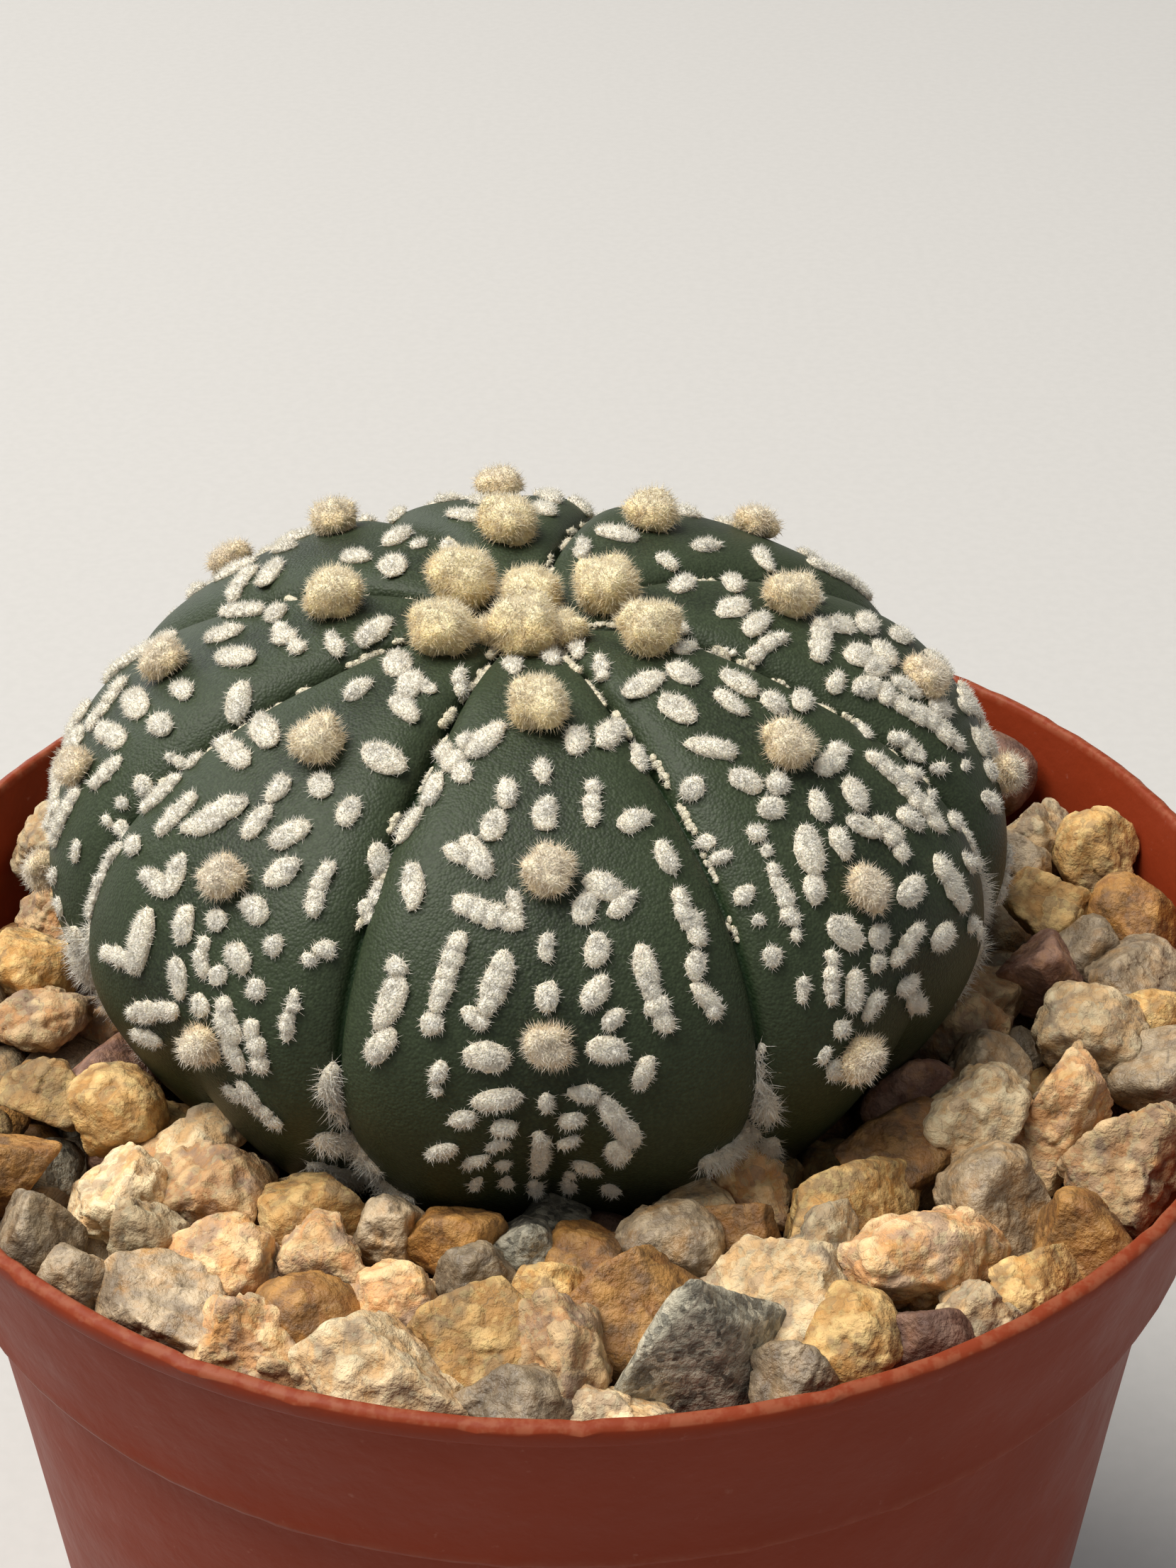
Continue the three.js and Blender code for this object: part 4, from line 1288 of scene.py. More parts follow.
@dataclass
class Flecks:
    """The white wool flecks: strokes of matted beads, and the wool along the grooves."""

    globe: Globe
    tufts: Tufts
    shown: dict[int, tuple[tuple[float, ...], ...]] = field(
        default_factory=lambda: {
            0: FRONT_STROKES,
            1: RIGHT_STROKES,
            2: FAR_RIGHT_STROKES,
            6: FAR_LEFT_STROKES,
            7: LEFT_STROKES,
        }
    )
    clumps: dict[int, tuple[tuple[float, ...], ...]] = field(default_factory=lambda: FOOT_CLUMPS)
    mirrored_from: tuple[int | None, ...] = (None, 1, 7, 1, 0, 7, 1, 7)
    # Beads, as shares of their stroke's width or of their own half width; the stray is in millimetres.
    height: float = 0.4 * MM
    bead_spacing: float = 0.6
    bead_width: Chance = Chance(0.88, 0.22)
    bead_rise: Chance = Chance(0.85, 0.3)
    bead_stray: float = 0.24
    bead_reach: float = 1.05
    bead_sunk: float = 0.15
    end_width: float = 0.8
    oval_length: float = 1.2
    knob_width: Chance = Chance(0.5, 0.2)
    knob_reach: float = 1.5
    fringe: float = 0.02 * MM
    clearance: float = 0.35 * MM
    # Bits and tassels along the grooves: where they start and end, then their sizes in millimetres.
    bit_rows: tuple[float, float] = (4 * MM, 27 * MM)
    bit_length: Chance = Chance(0.4, 1.8)
    bit_space: Chance = Chance(0.6, 1.9)
    bit_width: Chance = Chance(0.36, 0.4)
    bit_drift: float = 0.7
    tassel_rows: tuple[float, float] = (34 * MM, 46 * MM)
    tassel_length: Chance = Chance(0.4, 0.8)
    tassel_width: Chance = Chance(0.7, 0.5)
    tassel_widths: tuple[float, float] = (0.5, 1.6)
    tassel_drifts: tuple[float, float] = (0.3, 4.6)
    groove_age: float = 0.8
    seed: int = 5
    # Its default stain colour is painted shade on the skin side of each bead.
    finish: WoolFinish = WoolFinish("fleck_wool", roughness=0.9)
    fleck_wool: WoolGrower = WoolGrower(
        density=58e6, length=0.37 * MM, radius=0.024 * MM, lump_height=0.34 * MM, lump_size=0.6 * MM
    )
    groove_wool: WoolGrower = WoolGrower(
        density=40e6, length=0.24 * MM, radius=0.022 * MM, lump_height=0.12 * MM, lump_size=0.4 * MM, lean=1.0
    )
    foot_wool: WoolGrower = WoolGrower(
        density=52e6, length=0.9 * MM, radius=0.025 * MM, lump_height=0.36 * MM, lump_size=0.6 * MM
    )

    def strokes(self, rib: int) -> list[Stroke]:
        """A rib's strokes: those that show, then ones mirrored from another rib where there is room.

        Args:
            rib: the rib's number.

        Returns:
            The strokes.
        """
        own = [Stroke(rib, *(value / 10 * MM for value in row)) for row in self.shown.get(rib, ())]
        rows = self.tufts.layout()
        tufts = [
            Stroke(rib, one, aside, one, aside, wide)
            for on, one, aside, wide in zip(rows["rib"], rows["distance"], rows["sideways"], rows["width"])
            if on == rib
        ]
        source = self.mirrored_from[rib]
        lent = () if source is None else self.shown[source]
        for row in lent:
            start, aside, end, end_aside, width = (value / 10 * MM for value in row)
            stroke = Stroke(rib, start, -aside, end, -end_aside, width)
            inside = abs(stroke.sideways) + width / 2 < float(self.globe.half_rib(stroke.distance))
            if inside and all(stroke.gap(other) > self.clearance for other in own + tufts):
                own.append(stroke)
        return own

    def beads(self, strokes: list[Stroke], draw: SeededDraw) -> list[tuple[float, ...]]:
        """The beads of wool that make strokes.

        Args:
            strokes: the strokes.
            draw: the random numbers.

        Returns:
            For each bead its rib, distance, sideways place, turn, half length, half width and half height.
        """
        beads = []
        for stroke in strokes:
            turn = math.atan2(stroke.end_sideways - stroke.sideways, stroke.end_distance - stroke.distance)
            short = stroke.length < self.oval_length * stroke.width
            count = 2 if short else 1 + round(stroke.length / (self.bead_spacing * stroke.width))
            for number in range(count):
                share = number / (count - 1)
                half = (stroke.width / 2 - self.fringe) * self.bead_width(draw)
                jitter = (draw() - 0.5) * self.bead_stray * MM
                tall = min(self.height, half * 0.7) * self.bead_rise(draw)
                reach = half * self.bead_reach
                if short and number == 0:
                    share = 0.5
                    jitter = 0.0
                    reach = half + stroke.length / 2
                elif short:
                    share = 1.0 if draw() > 0.5 else 0.0
                    half *= self.knob_width(draw)
                    reach = half * self.knob_reach
                elif number in (0, count - 1):
                    half *= self.end_width
                distance, sideways = stroke.at(share)
                beads.append((stroke.rib, distance + jitter, sideways - jitter, turn, reach, half, tall))
        return beads

    def build(self) -> list[Piece]:
        """Grows the flecks, a piece for each rib, and the wool along the grooves.

        Returns:
            The pieces.
        """
        draw = SeededDraw(self.seed)
        material = self.finish.material()
        pieces = []
        for rib in range(self.globe.form.ribs):
            beads = self.beads(self.strokes(rib), draw)
            pieces.append(self.grown(f"flecks_rib_{rib + 1}", self.fleck_wool, beads, 0.0, material))
        beads = self.beads(self.groove_bits(draw), draw)
        pieces.append(self.grown("groove_wool", self.groove_wool, beads, self.groove_age, material))
        beads = self.beads(self.foot_tassels(draw), draw)
        pieces.append(self.grown("foot_wool", self.foot_wool, beads, 0.0, material))
        return pieces

    def in_groove(
        self, groove: int, ends: tuple[float, float], asides: tuple[float, float], width: float
    ) -> Stroke:
        """A stroke by a groove.

        Args:
            groove: the groove's number.
            ends: the two ends' distances from the crown.
            asides: their sideways places, counted from the groove.
            width: the stroke's width.

        Returns:
            The stroke, counted from the rib of the same number.
        """
        form = self.globe.form
        turn = float(form.azimuth(float(groove))) - form.middle(groove)
        radii = [float(form.meridian(float(self.globe.station_at(distance)))[0]) for distance in ends]
        first, second = (turn * radius + aside for radius, aside in zip(radii, asides))
        return Stroke(groove, ends[0], first, ends[1], second, width)

    def groove_bits(self, draw: SeededDraw) -> list[Stroke]:
        """The slim cream bits of wool along the upper grooves."""
        bits = []
        for groove in range(self.globe.form.ribs):
            distance, last = self.bit_rows
            while distance < last:
                end = distance + self.bit_length(draw) * MM
                drift = (draw() - 0.5) * self.bit_drift * MM
                width = self.bit_width(draw) * MM
                bits.append(self.in_groove(groove, (distance, end), (drift, drift), width))
                distance = end + self.bit_space(draw) * MM
        return bits

    def foot_tassels(self, draw: SeededDraw) -> list[Stroke]:
        """The shaggy wool at the feet of the grooves: the clumps that show, and seeded wool in the others."""
        tassels = []
        first, last = self.tassel_rows
        for groove in range(self.globe.form.ribs):
            for row in self.clumps.get(groove, ()):
                start, aside, end, end_aside, width = (value / 10 * MM for value in row)
                tassels.append(self.in_groove(groove, (start, end), (aside, end_aside), width))
            distance = last if groove in self.clumps else first
            while distance < last:
                end = distance + self.tassel_length(draw) * MM
                widest = mix(*self.tassel_widths, ease(34 * MM, 38 * MM, distance))
                width = widest * self.tassel_width(draw) * MM
                drift = (draw() - 0.5) * mix(*self.tassel_drifts, ease(35 * MM, 40 * MM, distance)) * MM
                tassels.append(self.in_groove(groove, (distance, end), (drift, drift), width))
                distance = end + 0.3 * MM * draw()
        return tassels

    def grown(
        self,
        name: str,
        wool: WoolGrower,
        beads: list[tuple[float, ...]],
        age: float,
        material: Material,
    ) -> Piece:
        """Grows beads of wool.

        Args:
            name: the piece's name.
            wool: how the wool is.
            beads: the beads.
            age: how yellow it is, 0 to 1.
            material: its material.

        Returns:
            The piece.
        """
        rib, distance, sideways, angle, *half = np.array(beads).T
        seats = self.globe.seats(rib, distance, sideways)
        turn = angle[:, None]
        place = seats["place"] + seats["outward"] * (half[2] * self.bead_sunk)[:, None]
        balls = {
            "outward": seats["outward"],
            "along": seats["along"] * np.cos(turn) + seats["across"] * np.sin(turn),
            "half": np.stack(half, axis=-1),
            "age": np.full(len(beads), age),
        }
        return wool.felt(name, place, self.seed, material, **balls)


# ---- the gravel


class Rock(Enum):
    """The kinds of stone in the gravel."""

    PEACH = "peach"
    OCHRE = "ochre"
    QUARTZ = "quartz"
    CREAM = "cream"
    MAUVE = "mauve"
    BROWN = "brown"
    SLATE = "slate"


PEACH, OCHRE, QUARTZ, CREAM, MAUVE, BROWN, SLATE = Rock

# The colours of each kind: its ground, its crystals and its second crystals.
STONE_COLOURS = {
    PEACH: ((0.74, 0.42, 0.21), (0.96, 0.69, 0.40), (0.46, 0.32, 0.22)),
    OCHRE: ((0.58, 0.33, 0.13), (0.88, 0.60, 0.28), (0.34, 0.23, 0.12)),
    QUARTZ: ((0.38, 0.29, 0.19), (0.62, 0.49, 0.33), (0.25, 0.19, 0.13)),
    CREAM: ((0.78, 0.53, 0.29), (0.95, 0.76, 0.49), (0.45, 0.34, 0.23)),
    MAUVE: ((0.30, 0.15, 0.10), (0.48, 0.29, 0.21), (0.22, 0.12, 0.09)),
    BROWN: ((0.36, 0.17, 0.06), (0.56, 0.31, 0.12), (0.20, 0.11, 0.05)),
    SLATE: ((0.40, 0.375, 0.29), (0.62, 0.57, 0.44), (0.13, 0.12, 0.095)),
}


@dataclass(frozen=True)
class RockKind:
    """How one kind of stone breaks and looks."""

    finish: StoneFinish
    crumble: float
    edges: float


def rock_kind(
    rock: Rock, roughness: float, crumble: float = 0.28, edges: float = 34.0, **look: float
) -> RockKind:
    """How a kind of stone breaks and looks.

    Args:
        rock: the kind.
        roughness: how dull it is.
        crumble: how far its crystals stand out, in millimetres.
        edges: how sharp its edges are.
        **look: the finish's other values.

    Returns:
        All of these together.
    """
    ground, crystal, second = STONE_COLOURS[rock]
    name = f"stone_{rock.value}"
    finish = StoneFinish(name, roughness, ground=ground, crystal=crystal, second=second, **look)
    return RockKind(finish, crumble * MM, edges)


ROCKS = {
    PEACH: rock_kind(PEACH, 0.8),
    OCHRE: rock_kind(OCHRE, 0.75, 0.16, stained=0.6),
    QUARTZ: rock_kind(QUARTZ, 0.5, 0.14, stained=0.45),
    CREAM: rock_kind(CREAM, 0.8, stained=0.4),
    MAUVE: rock_kind(MAUVE, 0.7, 0.07, stained=0.3, knobbly=0.4),
    BROWN: rock_kind(BROWN, 0.6, 0.09, stained=0.6, knobbly=0.4),
    SLATE: rock_kind(SLATE, 0.6, 0.10, 70.0, stained=0.0, speckled=0.5, knobbly=0.5),
}

# The stones that show: each one's azimuth in degrees, its distance from the pot's axis, its length, depth
# and height in millimetres, and its kind.
SHOWN_STONES = (
    (-83, 32, 6, 5, 3.4, PEACH), (-70, 32.5, 4.8, 4.6, 4.2, OCHRE), (-62, 29.5, 4.8, 4.6, 5, OCHRE),
    (-60, 36.5, 4.4, 4.6, 4.4, BROWN), (-50, 32.3, 6.6, 5.4, 5.2, CREAM),
    (-45, 28.8, 8.4, 6.4, 5.4, PEACH), (-51, 37.6, 4.6, 4.4, 5, QUARTZ), (-42, 34, 4.8, 4.4, 5.8, CREAM),
    (-43, 38.4, 4.6, 4, 3.8, QUARTZ), (-35, 38, 6.4, 5.2, 4.8, QUARTZ), (-34, 32, 8, 5.4, 5.2, PEACH),
    (-27, 30, 6, 5, 5, PEACH), (-24, 33.6, 5.2, 4.4, 4.2, BROWN), (-27, 37, 6.2, 5, 5.2, PEACH),
    (-14.5, 36.6, 9.6, 6.4, 6.2, CREAM), (-16, 30.6, 7, 5, 4.8, PEACH),
    (-10, 28.6, 5.2, 4.6, 4.4, QUARTZ), (-8, 32.9, 6.6, 5.4, 5.2, OCHRE), (-4, 38, 5.8, 4.6, 4.4, QUARTZ),
    (-1.5, 29, 4.4, 4.4, 4.8, OCHRE), (0.5, 34.8, 5.4, 5.6, 8, PEACH), (6.4, 30, 8.2, 5.6, 6.4, BROWN),
    (4.5, 38.2, 4.6, 3.8, 3.2, CREAM), (11.6, 34.8, 10, 6.4, 10.5, SLATE),
    (21.5, 31.4, 6.8, 7.6, 8.2, CREAM), (18.5, 38, 5.8, 4.4, 4.4, QUARTZ),
    (24.5, 36.2, 5, 5.2, 5.4, OCHRE), (30.5, 28.8, 5, 4.4, 4.6, CREAM), (29, 37.6, 5.4, 4.8, 5.2, MAUVE),
    (36, 33, 9, 5, 5, PEACH), (35, 26.6, 9.6, 5, 4.8, OCHRE), (36, 38.4, 6, 4.2, 4.2, CREAM),
    (46, 25.2, 7.4, 4.8, 4.2, BROWN), (48, 37.6, 5.4, 5.4, 5.4, BROWN), (49, 32, 6.4, 5.6, 5.4, QUARTZ),
    (58, 27.8, 5.8, 5.6, 6.2, CREAM), (61, 37, 6.4, 6.2, 6, PEACH), (66, 32, 9, 6, 6, PEACH),
    (79, 32, 8, 6, 5.2, CREAM), (91, 29.4, 6.4, 5, 4.4, MAUVE), (99, 36.6, 5.6, 4.8, 4.6, BROWN),
    (104, 32, 5, 4.8, 4.6, OCHRE), (90, 35.5, 5.2, 4.8, 4.6, QUARTZ), (-4.5, 25.8, 5, 4.2, 4, SLATE),
    (3, 25.6, 4.6, 4.2, 4, BROWN), (13, 26, 4.8, 4.2, 4.2, QUARTZ), (22, 26.2, 4.6, 4.2, 4.4, BROWN),
    (-13.5, 25.8, 4.8, 4.2, 4, BROWN), (-22, 26, 4.8, 4.2, 4.2, QUARTZ), (-31, 26.4, 5, 4.4, 4.4, OCHRE),
    (111, 38, 6, 4.6, 5, OCHRE), (117, 35.8, 5.8, 4.8, 4.8, CREAM), (114, 31.6, 5, 4.6, 4.4, QUARTZ),
    (129.5, 38, 5.6, 4.8, 4.8, MAUVE), (68, 26.6, 5, 4.4, 4.2, QUARTZ), (41.5, 38.8, 5.4, 4, 4, OCHRE),
    (-20.5, 38, 4.6, 4, 4, PEACH), (-113, 38, 5.8, 5, 5, CREAM), (-104, 33.5, 6, 5, 5, PEACH),
    (-93, 33.6, 5.8, 5, 4.8, OCHRE),
)


@dataclass
class Stone:
    """One stone: its place, its size along, across and up, its azimuth and its kind."""

    x: float
    y: float
    z: float
    size: tuple[float, float, float]
    azimuth: float
    rock: Rock
    held: float = 0.0
    level: int = 0


@dataclass
class Gravel:
    """The top dressing: stones that show at their places, and a seeded fill of three layers."""

    globe: Globe
    surface: float = 68.3 * MM
    seed: int = 11
    wall_radii: tuple[float, float] = (30.7 * MM, 36.9 * MM)
    collar_radii: tuple[float, float] = (38.5 * MM, 41.2 * MM)
    collar_foot: float = 59.8 * MM
    collar_height: float = 12.2 * MM
    step: tuple[float, float] = (58.2 * MM, 60.2 * MM)
    shown: tuple[tuple[float, float, float, float, float, Rock], ...] = SHOWN_STONES
    fill_size: tuple[float, float] = (4.2 * MM, 6.6 * MM)
    under_size: tuple[float, float] = (4.2 * MM, 6.2 * MM)
    layers: tuple[float, ...] = (68.3 * MM, 64.4 * MM, 60.6 * MM)
    mixture: tuple[tuple[Rock, int], ...] = (
        (PEACH, 6), (OCHRE, 5), (CREAM, 4), (QUARTZ, 4), (BROWN, 3), (MAUVE, 2), (SLATE, 1),
    )
    proportions: tuple[Chance, Chance, Chance] = (Chance(0.95, 0.3), Chance(0.8, 0.15), Chance(0.7, 0.2))
    # How near the stones are scattered to the axis, the wall, the globe, its root and each other.
    innermost: float = 17 * MM
    from_wall: float = 2.0 * MM
    from_globe: float = 23.8 * MM
    from_root: float = 16 * MM
    closeness: float = 0.43
    tries: int = 2600
    rounds: int = 90
    # How the stones settle: how readily they give way, how hard they are pulled home, and their room.
    fullness: float = 0.88
    shown_ease: float = 0.35
    top_ease: float = 0.8
    shown_pull: float = 0.25
    fill_pull: float = 0.03
    under_depth: float = 2.5 * MM
    under_breadth: float = 1.3
    wall_gap: float = 0.2 * MM
    globe_gap: float = 0.8
    globe_push: float = 0.6
    # How a stone is shaped.
    cuts: int = 9
    cut_depths: tuple[float, float] = (0.48, 0.88)
    crystal_size: float = 1.15 * MM
    bend_size: float = 1.3 * MM
    bend: float = 0.9 * MM
    pit_size: float = 0.5 * MM
    pits: float = 0.12 * MM
    spread: float = 40 * MM
    swell: float = 1.32
    peak: float = 0.85
    fineness: tuple[int, int, int] = (5, 4, 3)

    def inner_wall(self, z: Number) -> Number:
        """The radius of the pot's inside at a height."""
        collar = mix(*self.collar_radii, (z - self.collar_foot) / self.collar_height)
        below = mix(*self.wall_radii, z / self.collar_foot)
        return mix(below, collar, ease(*self.step, z))

    def scatter(self) -> list[Stone]:
        """The stones before they settle: those that show, then a fill of each layer."""
        stones = []
        for azimuth, distance, length, depth, height, rock in self.shown:
            angle = math.radians(azimuth)
            x, y = distance * MM * math.sin(angle), -distance * MM * math.cos(angle)
            size = (length * MM, depth * MM, height * MM)
            stones.append(Stone(x, y, self.surface, size, angle, rock, held=1.0))
        draw = SeededDraw(self.seed)
        kinds = [rock for rock, count in self.mixture for _ in range(count)]
        centre = self.globe.form.centre[:2]
        for level, height in enumerate(self.layers):
            sizes = self.fill_size if level == 0 else self.under_size
            reach = float(self.inner_wall(height)) - self.from_wall
            for _ in range(self.tries):
                angle = FULL_TURN * draw()
                distance = mix(self.innermost, reach, math.sqrt(draw()))
                size = mix(*sizes, draw())
                x, y = distance * math.sin(angle), -distance * math.cos(angle)
                room = self.from_globe + size * 0.3 if level == 0 else self.from_root
                off_globe = math.hypot(x - centre[0], y - centre[1]) > room
                layer = [one for one in stones if one.level == level]
                if off_globe and not any(self.crowds(one, x, y, size) for one in layer):
                    rock = kinds[int(draw() * len(kinds))]
                    shape = tuple(size * share(draw) for share in self.proportions)
                    stones.append(Stone(x, y, height, shape, FULL_TURN * draw(), rock, level=level))
        return stones

    def crowds(self, other: Stone, x: float, y: float, size: float) -> bool:
        """Whether a stone of this size at x and y would be too near another stone."""
        reach = size + (other.size[0] + other.size[1]) / 2
        return math.hypot(x - other.x, y - other.y) <= self.closeness * reach

    def settle(self, stones: list[Stone]) -> np.ndarray:
        """Moves stones apart until they barely touch, off the pot's wall and off the globe.

        Args:
            stones: the stones as scattered.

        Returns:
            Their places.
        """
        place = np.array([(one.x, one.y, one.z) for one in stones])
        home = place.copy()
        half = np.array([one.size for one in stones]) / 2
        held = np.array([one.held for one in stones])
        level = np.array([one.level for one in stones])
        yaw = np.array([one.azimuth for one in stones])
        cos, sin = np.cos(yaw), np.sin(yaw)
        loose = np.where(held > 0, self.shown_ease, 1.0) * np.where(level == 0, self.top_ease, 1.0)
        wide = (half[:, 0] + half[:, 1]) / 2
        below = np.where(level > 0, self.under_depth, 0)
        breadth = np.where(level > 0, self.under_breadth, 1.0) * wide
        for _ in range(self.rounds):
            gap = place[:, None] - place[None]
            far = np.linalg.norm(gap, axis=-1) + 1e-9
            way = gap / far[..., None]
            across = way[..., 0] * cos[:, None] + way[..., 1] * sin[:, None]
            deep = -way[..., 0] * sin[:, None] + way[..., 1] * cos[:, None]
            spans = np.stack([across, deep, way[..., 2]], axis=-1) / half[:, None]
            reach = 1 / np.linalg.norm(spans, axis=-1)
            lack = np.maximum(self.fullness * (reach + reach.T) - far, 0)
            np.fill_diagonal(lack, 0)
            share = loose[:, None] / (loose[:, None] + loose[None])
            place = place + 0.5 * (way * (lack * share)[..., None]).sum(axis=1)
            place = place + (home - place) * np.where(held > 0, self.shown_pull, self.fill_pull)[:, None]
            distance = np.hypot(place[:, 0], place[:, 1]) + 1e-9
            limit = self.inner_wall(place[:, 2] - below) - breadth - self.wall_gap
            place[:, :2] *= np.minimum(1, limit / distance)[:, None]
            place = self.off_globe(place, wide)
        return place

    def off_globe(self, place: np.ndarray, wide: np.ndarray) -> np.ndarray:
        """Moves stones out of the globe.

        Args:
            place: the stones' places.
            wide: their mean half width.

        Returns:
            The places, clear of the globe.
        """
        clear = place.copy()
        for number, point in enumerate(place):
            seen, normal, _, gap = self.globe.tree.find_nearest(Vector(point))
            inside = (Vector(point) - seen).dot(normal) < 0
            lack = self.globe_gap * wide[number] + (gap if inside else -gap)
            if lack > 0:
                clear[number] += np.array(normal) * lack * self.globe_push
        return clear

    def build(self) -> list[Piece]:
        """Grows the stones, a piece for each kind.

        Returns:
            The pieces.
        """
        stones = self.scatter()
        places = self.settle(stones)
        log.info("gravel: %d stones", len(stones))
        pieces = []
        for rock in Rock:
            chosen = [number for number, one in enumerate(stones) if one.rock is rock]
            own = [stones[number] for number in chosen]
            pieces.append(self.grown(rock, own, places[chosen], np.array(chosen)))
        return pieces

    def grown(
        self, rock: Rock, stones: list[Stone], places: np.ndarray, numbers: np.ndarray
    ) -> Piece:
        """Grows the stones of one kind.

        Each starts as a ball. Random flat cuts shape it, and crystals that stand out or have fallen out make
        its faces crumbly.

        Args:
            rock: their kind.
            stones: the stones.
            places: where they lie.
            numbers: each stone's own number.

        Returns:
            The piece.
        """
        kind = ROCKS[rock]
        sizes = {
            "Edges": kind.edges,
            "Crumble": kind.crumble,
            "Crystal Size": self.crystal_size,
            "Pits": self.pits,
        }
        grower = Grower(f"gravel_{rock.value}", sizes)
        source = grower.source.outputs["Geometry"]
        depth = grower.stored("depth", "INT").outputs["Attribute"]
        balls = grower.add("GeometryNodeJoinGeometry")
        for step, fineness in enumerate(self.fineness):
            inputs = {"A": depth, "B": step}
            chosen = grower.add("FunctionNodeCompare", inputs, data_type="INT", operation="EQUAL")
            inputs = {"Geometry": source, "Selection": chosen}
            share = grower.add("GeometryNodeSeparateGeometry", inputs, domain="POINT").outputs[0]
            ball = grower.add("GeometryNodeMeshIcoSphere", {"Radius": 1.0, "Subdivisions": fineness})
            way = grower.add("GeometryNodeInputPosition")
            ball = grower.store(grower.out(ball, "Mesh"), "way", way, "FLOAT_VECTOR")
            grower.feed(balls.inputs[0], grower.copies(share, ball, (0.0, 0.0, 0.0), (1.0, 1.0, 1.0)))
        number = grower.stored("number", "INT").outputs["Attribute"]
        way = grower.stored("way", "FLOAT_VECTOR")
        taper = grower.out(grower.stored("taper"))
        upright = grower.add("ShaderNodeCombineXYZ", {0: 1.0, 1: 1.0, 2: 1.0 - most(taper, 0.0)})
        total = None
        for cut in range(self.cuts):
            facet = grower.vector("MULTIPLY", grower.chance_way(cut + 20, number), upright)
            facet = grower.vector("NORMALIZE", facet)
            facing = most(grower.out(grower.vector("DOT_PRODUCT", way, facet), "Value"), 0.0)
            pressed = (facing / grower.chance(*self.cut_depths, cut + 60, number)) ** grower.size("Edges")
            total = pressed if total is None else total + pressed
        reach = (total + 1.0) ** (-1.0 / grower.size("Edges"))
        block = grower.axes(grower.vector("SCALE", way, reach))
        slim = 1.0 - block[2] * taper
        block = grower.add("ShaderNodeCombineXYZ", {0: block[0] * slim, 1: block[1] * slim, 2: block[2]})
        body = grower.vector("MULTIPLY", block, grower.stored("half", "FLOAT_VECTOR"))
        apart = grower.vector("ADD", body, grower.vector("SCALE", grower.chance_way(7, number), self.spread))
        inputs = {"Vector": apart, "Scale": 1 / self.bend_size, "Detail": 2.0}
        bend = grower.out(grower.add("ShaderNodeTexNoise", inputs), "Color")
        bent = grower.vector("ADD", apart, grower.vector("SCALE", bend, self.bend))
        inputs = {"Vector": bent, "Scale": 1.0 / grower.size("Crystal Size")}
        crystals = grower.add("ShaderNodeTexVoronoi", inputs)
        cell = grower.axes(grower.out(crystals, "Color"))[0]
        seam = grower.out(crystals, "Distance")
        inputs = {"Vector": apart, "Scale": 1 / self.pit_size, "Detail": 3.0}
        pits = grower.add("ShaderNodeTexNoise", inputs)
        swell = ((cell - 0.55) * 1.6 + (0.35 - seam) * 1.2) * grower.size("Crumble")
        swell = swell + (grower.out(pits, 0) - 0.5) * grower.size("Pits") * 2.0
        shape = grower.vector("ADD", body, grower.vector("SCALE", way, swell))
        spin = grower.add("FunctionNodeEulerToRotation", {0: grower.stored("spin", "FLOAT_VECTOR")})
        turned = grower.add("FunctionNodeRotateVector", {"Vector": shape, "Rotation": spin})
        x, y, z = grower.axes(grower.vector("ADD", turned, grower.stored("home", "FLOAT_VECTOR")))
        squeeze = least(self.inner_wall(z) / root(x * x + y * y), 1.0)
        place = grower.add("ShaderNodeCombineXYZ", {0: x * squeeze, 1: y * squeeze, 2: z})
        marked = grower.store(grower.store(balls, "crystal", cell), "seam", seam)
        shaped = grower.add("GeometryNodeSetPosition", {"Geometry": marked, "Position": place})
        grower.close(grower.smooth(shaped), kind.finish.material())
        draw = SeededDraw(self.seed + 40 + len(stones))
        spin = [
            ((draw() - 0.5) * 0.5, (draw() - 0.5) * 0.5, one.azimuth + (draw() - 0.5) * 0.4) for one in stones
        ]
        tone = [draw() for _ in stones]
        taper = [
            self.peak if one.rock is SLATE and one.held else (draw() - 0.4) * 0.7 for one in stones
        ]
        carrier = point_carrier(
            f"gravel_{rock.value}_start",
            places,
            home=places,
            half=np.array([one.size for one in stones]) / 2 * self.swell,
            spin=np.array(spin),
            depth=np.array([0 if one.held else min(1 + one.level, 2) for one in stones]),
            number=numbers,
            tone=np.array(tone),
            taper=np.array(taper),
        )
        return grower.grow(f"gravel_{rock.value}", carrier)


# ---- pot and soil


